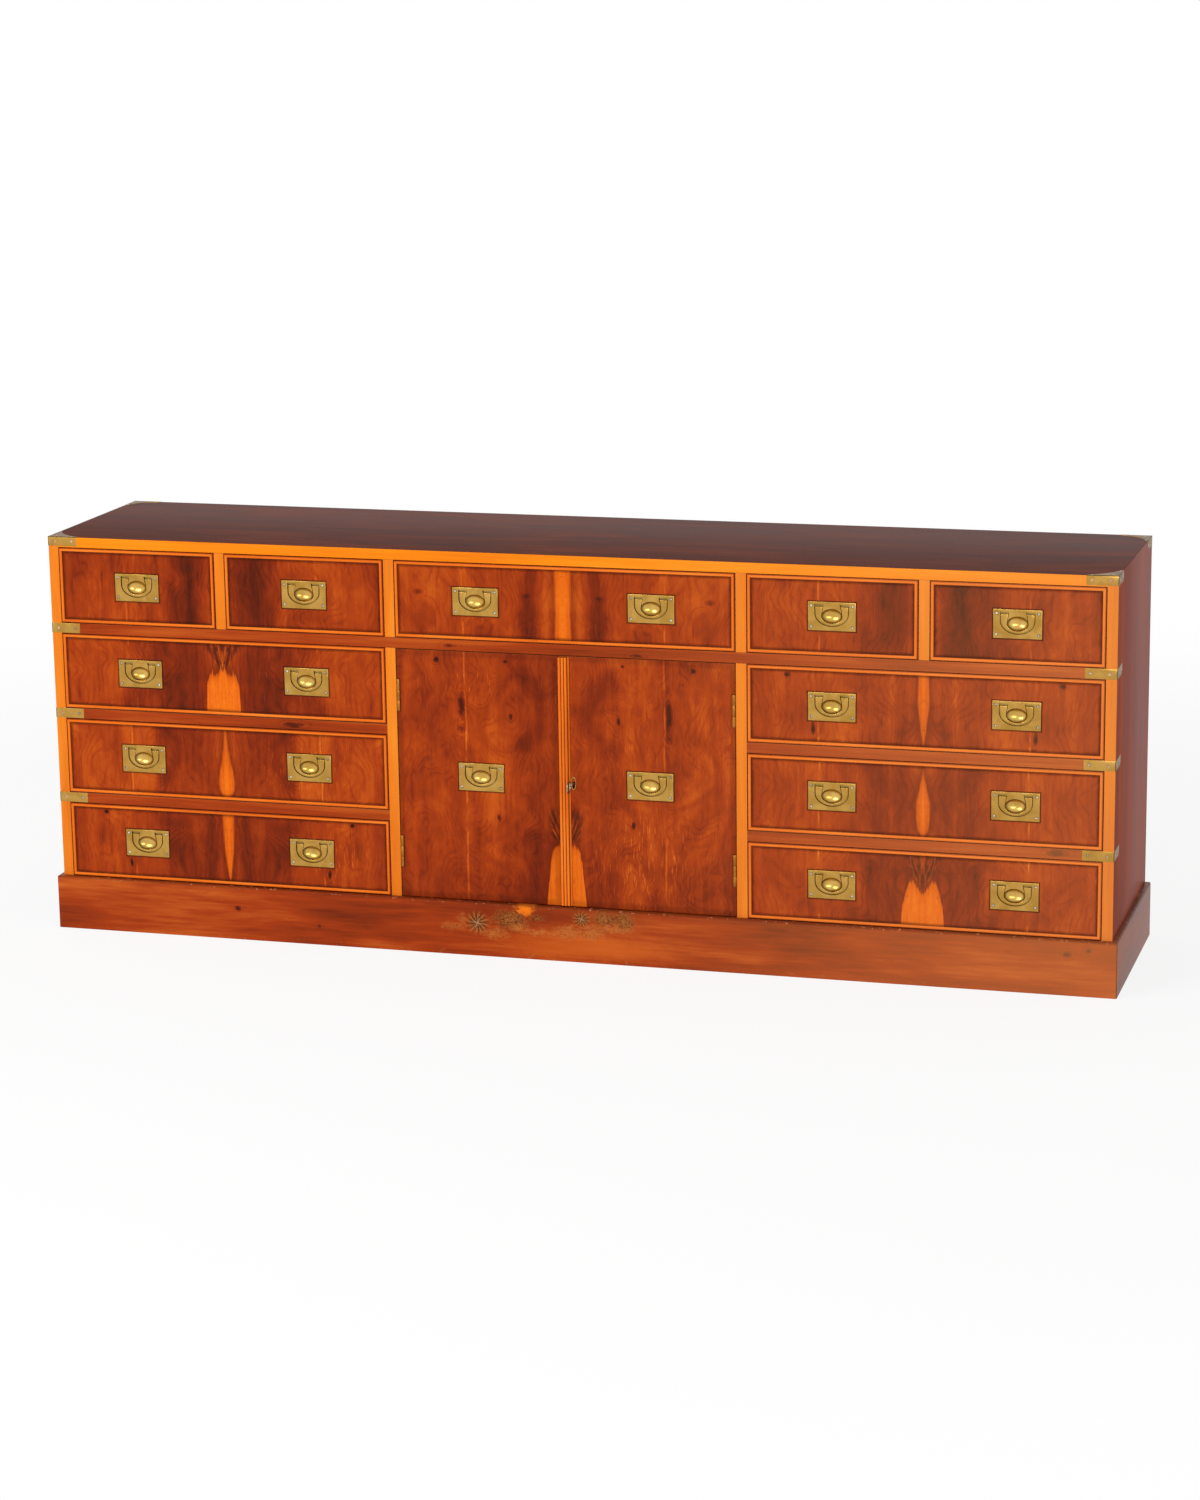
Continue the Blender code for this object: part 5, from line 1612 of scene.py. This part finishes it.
def meetingStrip():
    look = doorLook
    halfWide = look["strip"] / 2
    low, high = doorLow + look["endGap"], doorHigh - look["endGap"]
    reedsEnd = halfWide - look["fillet"]
    bm = bmesh.new()
    addBoard(bm, (-halfWide, frontY - look["reedBase"], low), (reedsEnd, frontY, high))
    addBoard(bm, (reedsEnd, frontY - look["filletProud"], low), (halfWide, frontY, high))
    soften(bm, look["stripSoft"], 2,
           lambda edge: all(v.co.x > reedsEnd + mm and v.co.y < frontY - mm for v in edge.verts))
    pitch = (look["strip"] - look["fillet"]) / look["reeds"]
    ribs = grown("reeds", bpy.data.meshes.new("start"), reeds, finishes["reedSapwood"], {
        "Count": look["reeds"], "Pitch": pitch, "Length": high - low,
        "Proud": look["reedProud"],
        "First": (-halfWide + pitch / 2, frontY - look["reedBase"], (low + high) / 2)})
    addPiece("meetingStrip", merged("meetingStrip", [toMesh("stripBase", bm), ribs]),
             "door_right", ["reedSapwood", "filletSapwood"], None,
             lambda middle, normal: 1 if middle.x > reedsEnd + 0.1 * mm else 0)


def escutcheon():
    lock = lockLook
    middle, radii = (lock["x"], lock["z"]), (lock["wide"] / 2, lock["tall"] / 2)
    bm = bmesh.new()
    addPrism(bm, oval(middle, radii), frontY - lock["proud"], frontY + lock["deep"], "xz")
    soften(bm, lock["soft"], 2, before(frontY - 0.1 * mm))
    start = frontY - throughFront
    well = oval(middle, [radius - lock["rim"] for radius in radii])
    tools = [shaped("keyhole", addPrism, (keyholeShape(), start, frontY + throughFront, "xz")),
             shaped("well", addPrism, (well, start, frontY + lock["well"], "xz"))]
    addPiece("escutcheonPlate", cutMesh("escutcheon", toMesh("escutcheon", bm), tools, 35),
             "door_right", ["wellBrass"])


def caseHinge(name, side, low):
    hinge = hingeLook
    long, third, middle = hinge["long"], hinge["long"] / 3, low + hinge["long"] / 2
    inner, outer = sorted((side * (bayHalf - hinge["gap"]),
                           side * (bayHalf - hinge["gap"] - hinge["leaf"])))
    bm = bmesh.new()
    addBoard(bm, (inner, frontY, low), (outer, frontY + hinge["leafDeep"], low + long))
    soften(bm, hinge["leafSoft"], 1)
    notch = ((side * hingeX, frontY, middle), hinge["radius"] + hinge["ease"],
             third + 2 * hinge["gap"], "z", hinge["sides"])
    leaf = cutMesh(name, toMesh(name, bm), [shaped("notch", addRod, notch)])
    bm = bmesh.new()
    for place in (low + third / 2, low + long - third / 2):
        knuckle(bm, side, place)
    soften(bm, hinge["soft"], 2, sharper=1.2)
    addRod(bm, (side * hingeX, frontY, middle), hinge["pin"], long + hinge["pinOut"], "z", 20)
    addPiece(name + "Brass", merged(name, [leaf, toMesh(name, bm, 40)]), "case",
             ["hingeBrass"], name)


for name, side in (("door_left", -1), ("door_right", 1)):
    doorPieces(name, side)
    for level, low in hingeLows.items():
        caseHinge(f"hinge_{name[5:]}_{level}", side, low)
meetingStrip()
escutcheon()
print("doors and hinges made")


# Key
keyLook = {"shank": 2.0 * mm, "bow": 22 * mm, "band": 3.6 * mm, "thick": 2.4 * mm,
           "reach": 40 * mm, "bit": 8 * mm, "end": 0.9 * mm, "bitEnd": 0.6 * mm,
           "collars": ((2.4 * mm, 2.9 * mm), (4.4 * mm, 2.494 * mm)), "collarHalf": 1.1 * mm}


def addRing(bm, middle, radius, wire, steps=64, sides=16):
    # a ring of oval wire, standing across x
    rings = []
    for step in range(steps):
        turn = 2 * pi * step / steps
        out = Vector((0, cos(turn), sin(turn)))
        centre = Vector(middle) + out * radius
        angles = [2 * pi * number / sides for number in range(sides)]
        rings.append([bm.verts.new(centre + out * wire[0] * cos(angle)
                                   + Vector((wire[1] * sin(angle), 0, 0))) for angle in angles])
    closedRings(bm, rings)


def keyPiece():
    look, lock = keyLook, lockLook
    x, z, half = lock["x"], lock["z"], look["band"] / 2
    bowEnd = frontY - look["reach"]
    start = bowEnd + look["bow"] - half
    end = frontY + lock["pocketHigh"] - look["end"]
    bm = bmesh.new()
    addRod(bm, (x, (start + end) / 2, z), look["shank"], end - start, "y", 32)
    for place, radius in look["collars"]:
        addBall(bm, (x, start + place, z), (radius, look["collarHalf"], radius), (24, 12))
    addRing(bm, (x, bowEnd + look["bow"] / 2, z), look["bow"] / 2 - half,
            (half, look["thick"] / 2))
    addBoard(bm, (x - look["thick"] / 2, frontY + lock["pocketLow"] + look["end"], z - look["bit"]),
             (x + look["thick"] / 2, end - look["bitEnd"], z))
    bmesh.ops.recalc_face_normals(bm, faces=bm.faces)
    addPiece("doorKey", toMesh("doorKey", bm, 40), "door_key", ["keySteel"],
             "door_key")


keyPiece()
print("key made")


# Floor, light and camera
stageLook = {"floor": rgb(250, 250, 250), "radius": 6.0, "fade": (1.6, 3.2), "sky": 0.55,
             "glow": 0.84}
lampLooks = {
    "keyLight": {"place": (-2.4, -3.4, 2.8), "aim": (0, 0, 0.35), "size": (2.2, 1.6),
                 "power": 92},
    "frontLight": {"place": (1.8, -4.6, 1.9), "aim": (0.4, 0, 0.35), "size": (2.4, 1.4),
                   "power": 52},
}
cameraLook = {"place": (1.7487, -5.9611, 1.7806), "turn": 16.246, "down": 13.165,
              "roll": -0.817, "lens": 59.235, "sensor": 24}
seenRays = ("Is Camera Ray", "Is Glossy Ray", "Is Transmission Ray")


def stageFloor():
    bm = bmesh.new()
    bmesh.ops.create_circle(bm, cap_ends=True, segments=96, radius=stageLook["radius"])
    mesh = toMesh("floor", bm)
    finish = Finish("paleFloor")
    grain = finish.noise((30, 30, 30), 3, 0.6)
    clear = outward(finish.x, finish.y).rise(*stageLook["fade"])
    material = finish.close(Base_Color=stageLook["floor"], Roughness=0.85 + grain.swing(0.05),
                            Specular_IOR_Level=0.1)
    rays = [finish.node("LightPath", output=name) for name in seenRays]
    seen = (rays[0] + rays[1] + rays[2]).least(1.0) * stageLook["glow"]
    blend = finish.node("MixShader", inputs={0: seen, 1: finish.shader.outputs[0],
                                             2: finish.node("Emission")})
    blend = finish.node("MixShader", inputs={0: clear, 1: blend,
                                             2: finish.node("BsdfTransparent")})
    finish.feed(blend, finish.tree.nodes["Material Output"].inputs["Surface"])
    mesh.materials.append(material)
    placed("floor", mesh)


def studioWorld():
    world = bpy.data.worlds.new("studio")
    scene.world = world
    world.use_nodes = True
    sky = Nodes(world.node_tree)
    rays = sky.put("ShaderNodeLightPath").outputs
    seen = rays[seenRays[0]]
    for name in seenRays[1:]:
        seen = sky.put("ShaderNodeMath", {"operation": "ADD", "use_clamp": True},
                       {0: seen, 1: rays[name]}).outputs[0]
    level = sky.put("ShaderNodeMapRange", None,
                    {"Value": seen, "To Min": stageLook["sky"], "To Max": 1.0})
    back = sky.tree.nodes["Background"]
    sky.feed((1, 1, 1, 1), back.inputs["Color"])
    sky.feed(level.outputs[0], back.inputs["Strength"])


def softBox(name, look):
    data = bpy.data.lights.new(name, "AREA")
    data.shape = "RECTANGLE"
    data.size, data.size_y = look["size"]
    data.energy = look["power"]
    lamp = placed(name, data)
    lamp.location = look["place"]
    aim = Vector(look["aim"]) - Vector(look["place"])
    lamp.rotation_euler = aim.to_track_quat("-Z", "Y").to_euler()


stageFloor()
studioWorld()
for name, look in lampLooks.items():
    softBox(name, look)
lens = bpy.data.cameras.new("camera")
lens.sensor_fit = "VERTICAL"
lens.sensor_height = cameraLook["sensor"]
lens.lens = cameraLook["lens"]
camera = placed("camera", lens)
turned = (Matrix.Rotation(radians(cameraLook["turn"]), 4, "Z")
          @ Matrix.Rotation(radians(90 - cameraLook["down"]), 4, "X")
          @ Matrix.Rotation(radians(cameraLook["roll"]), 4, "Z"))
camera.matrix_world = Matrix.Translation(cameraLook["place"]) @ turned
scene.camera = camera
scene.view_settings.view_transform = "Standard"
print("stage, lamps and camera set")
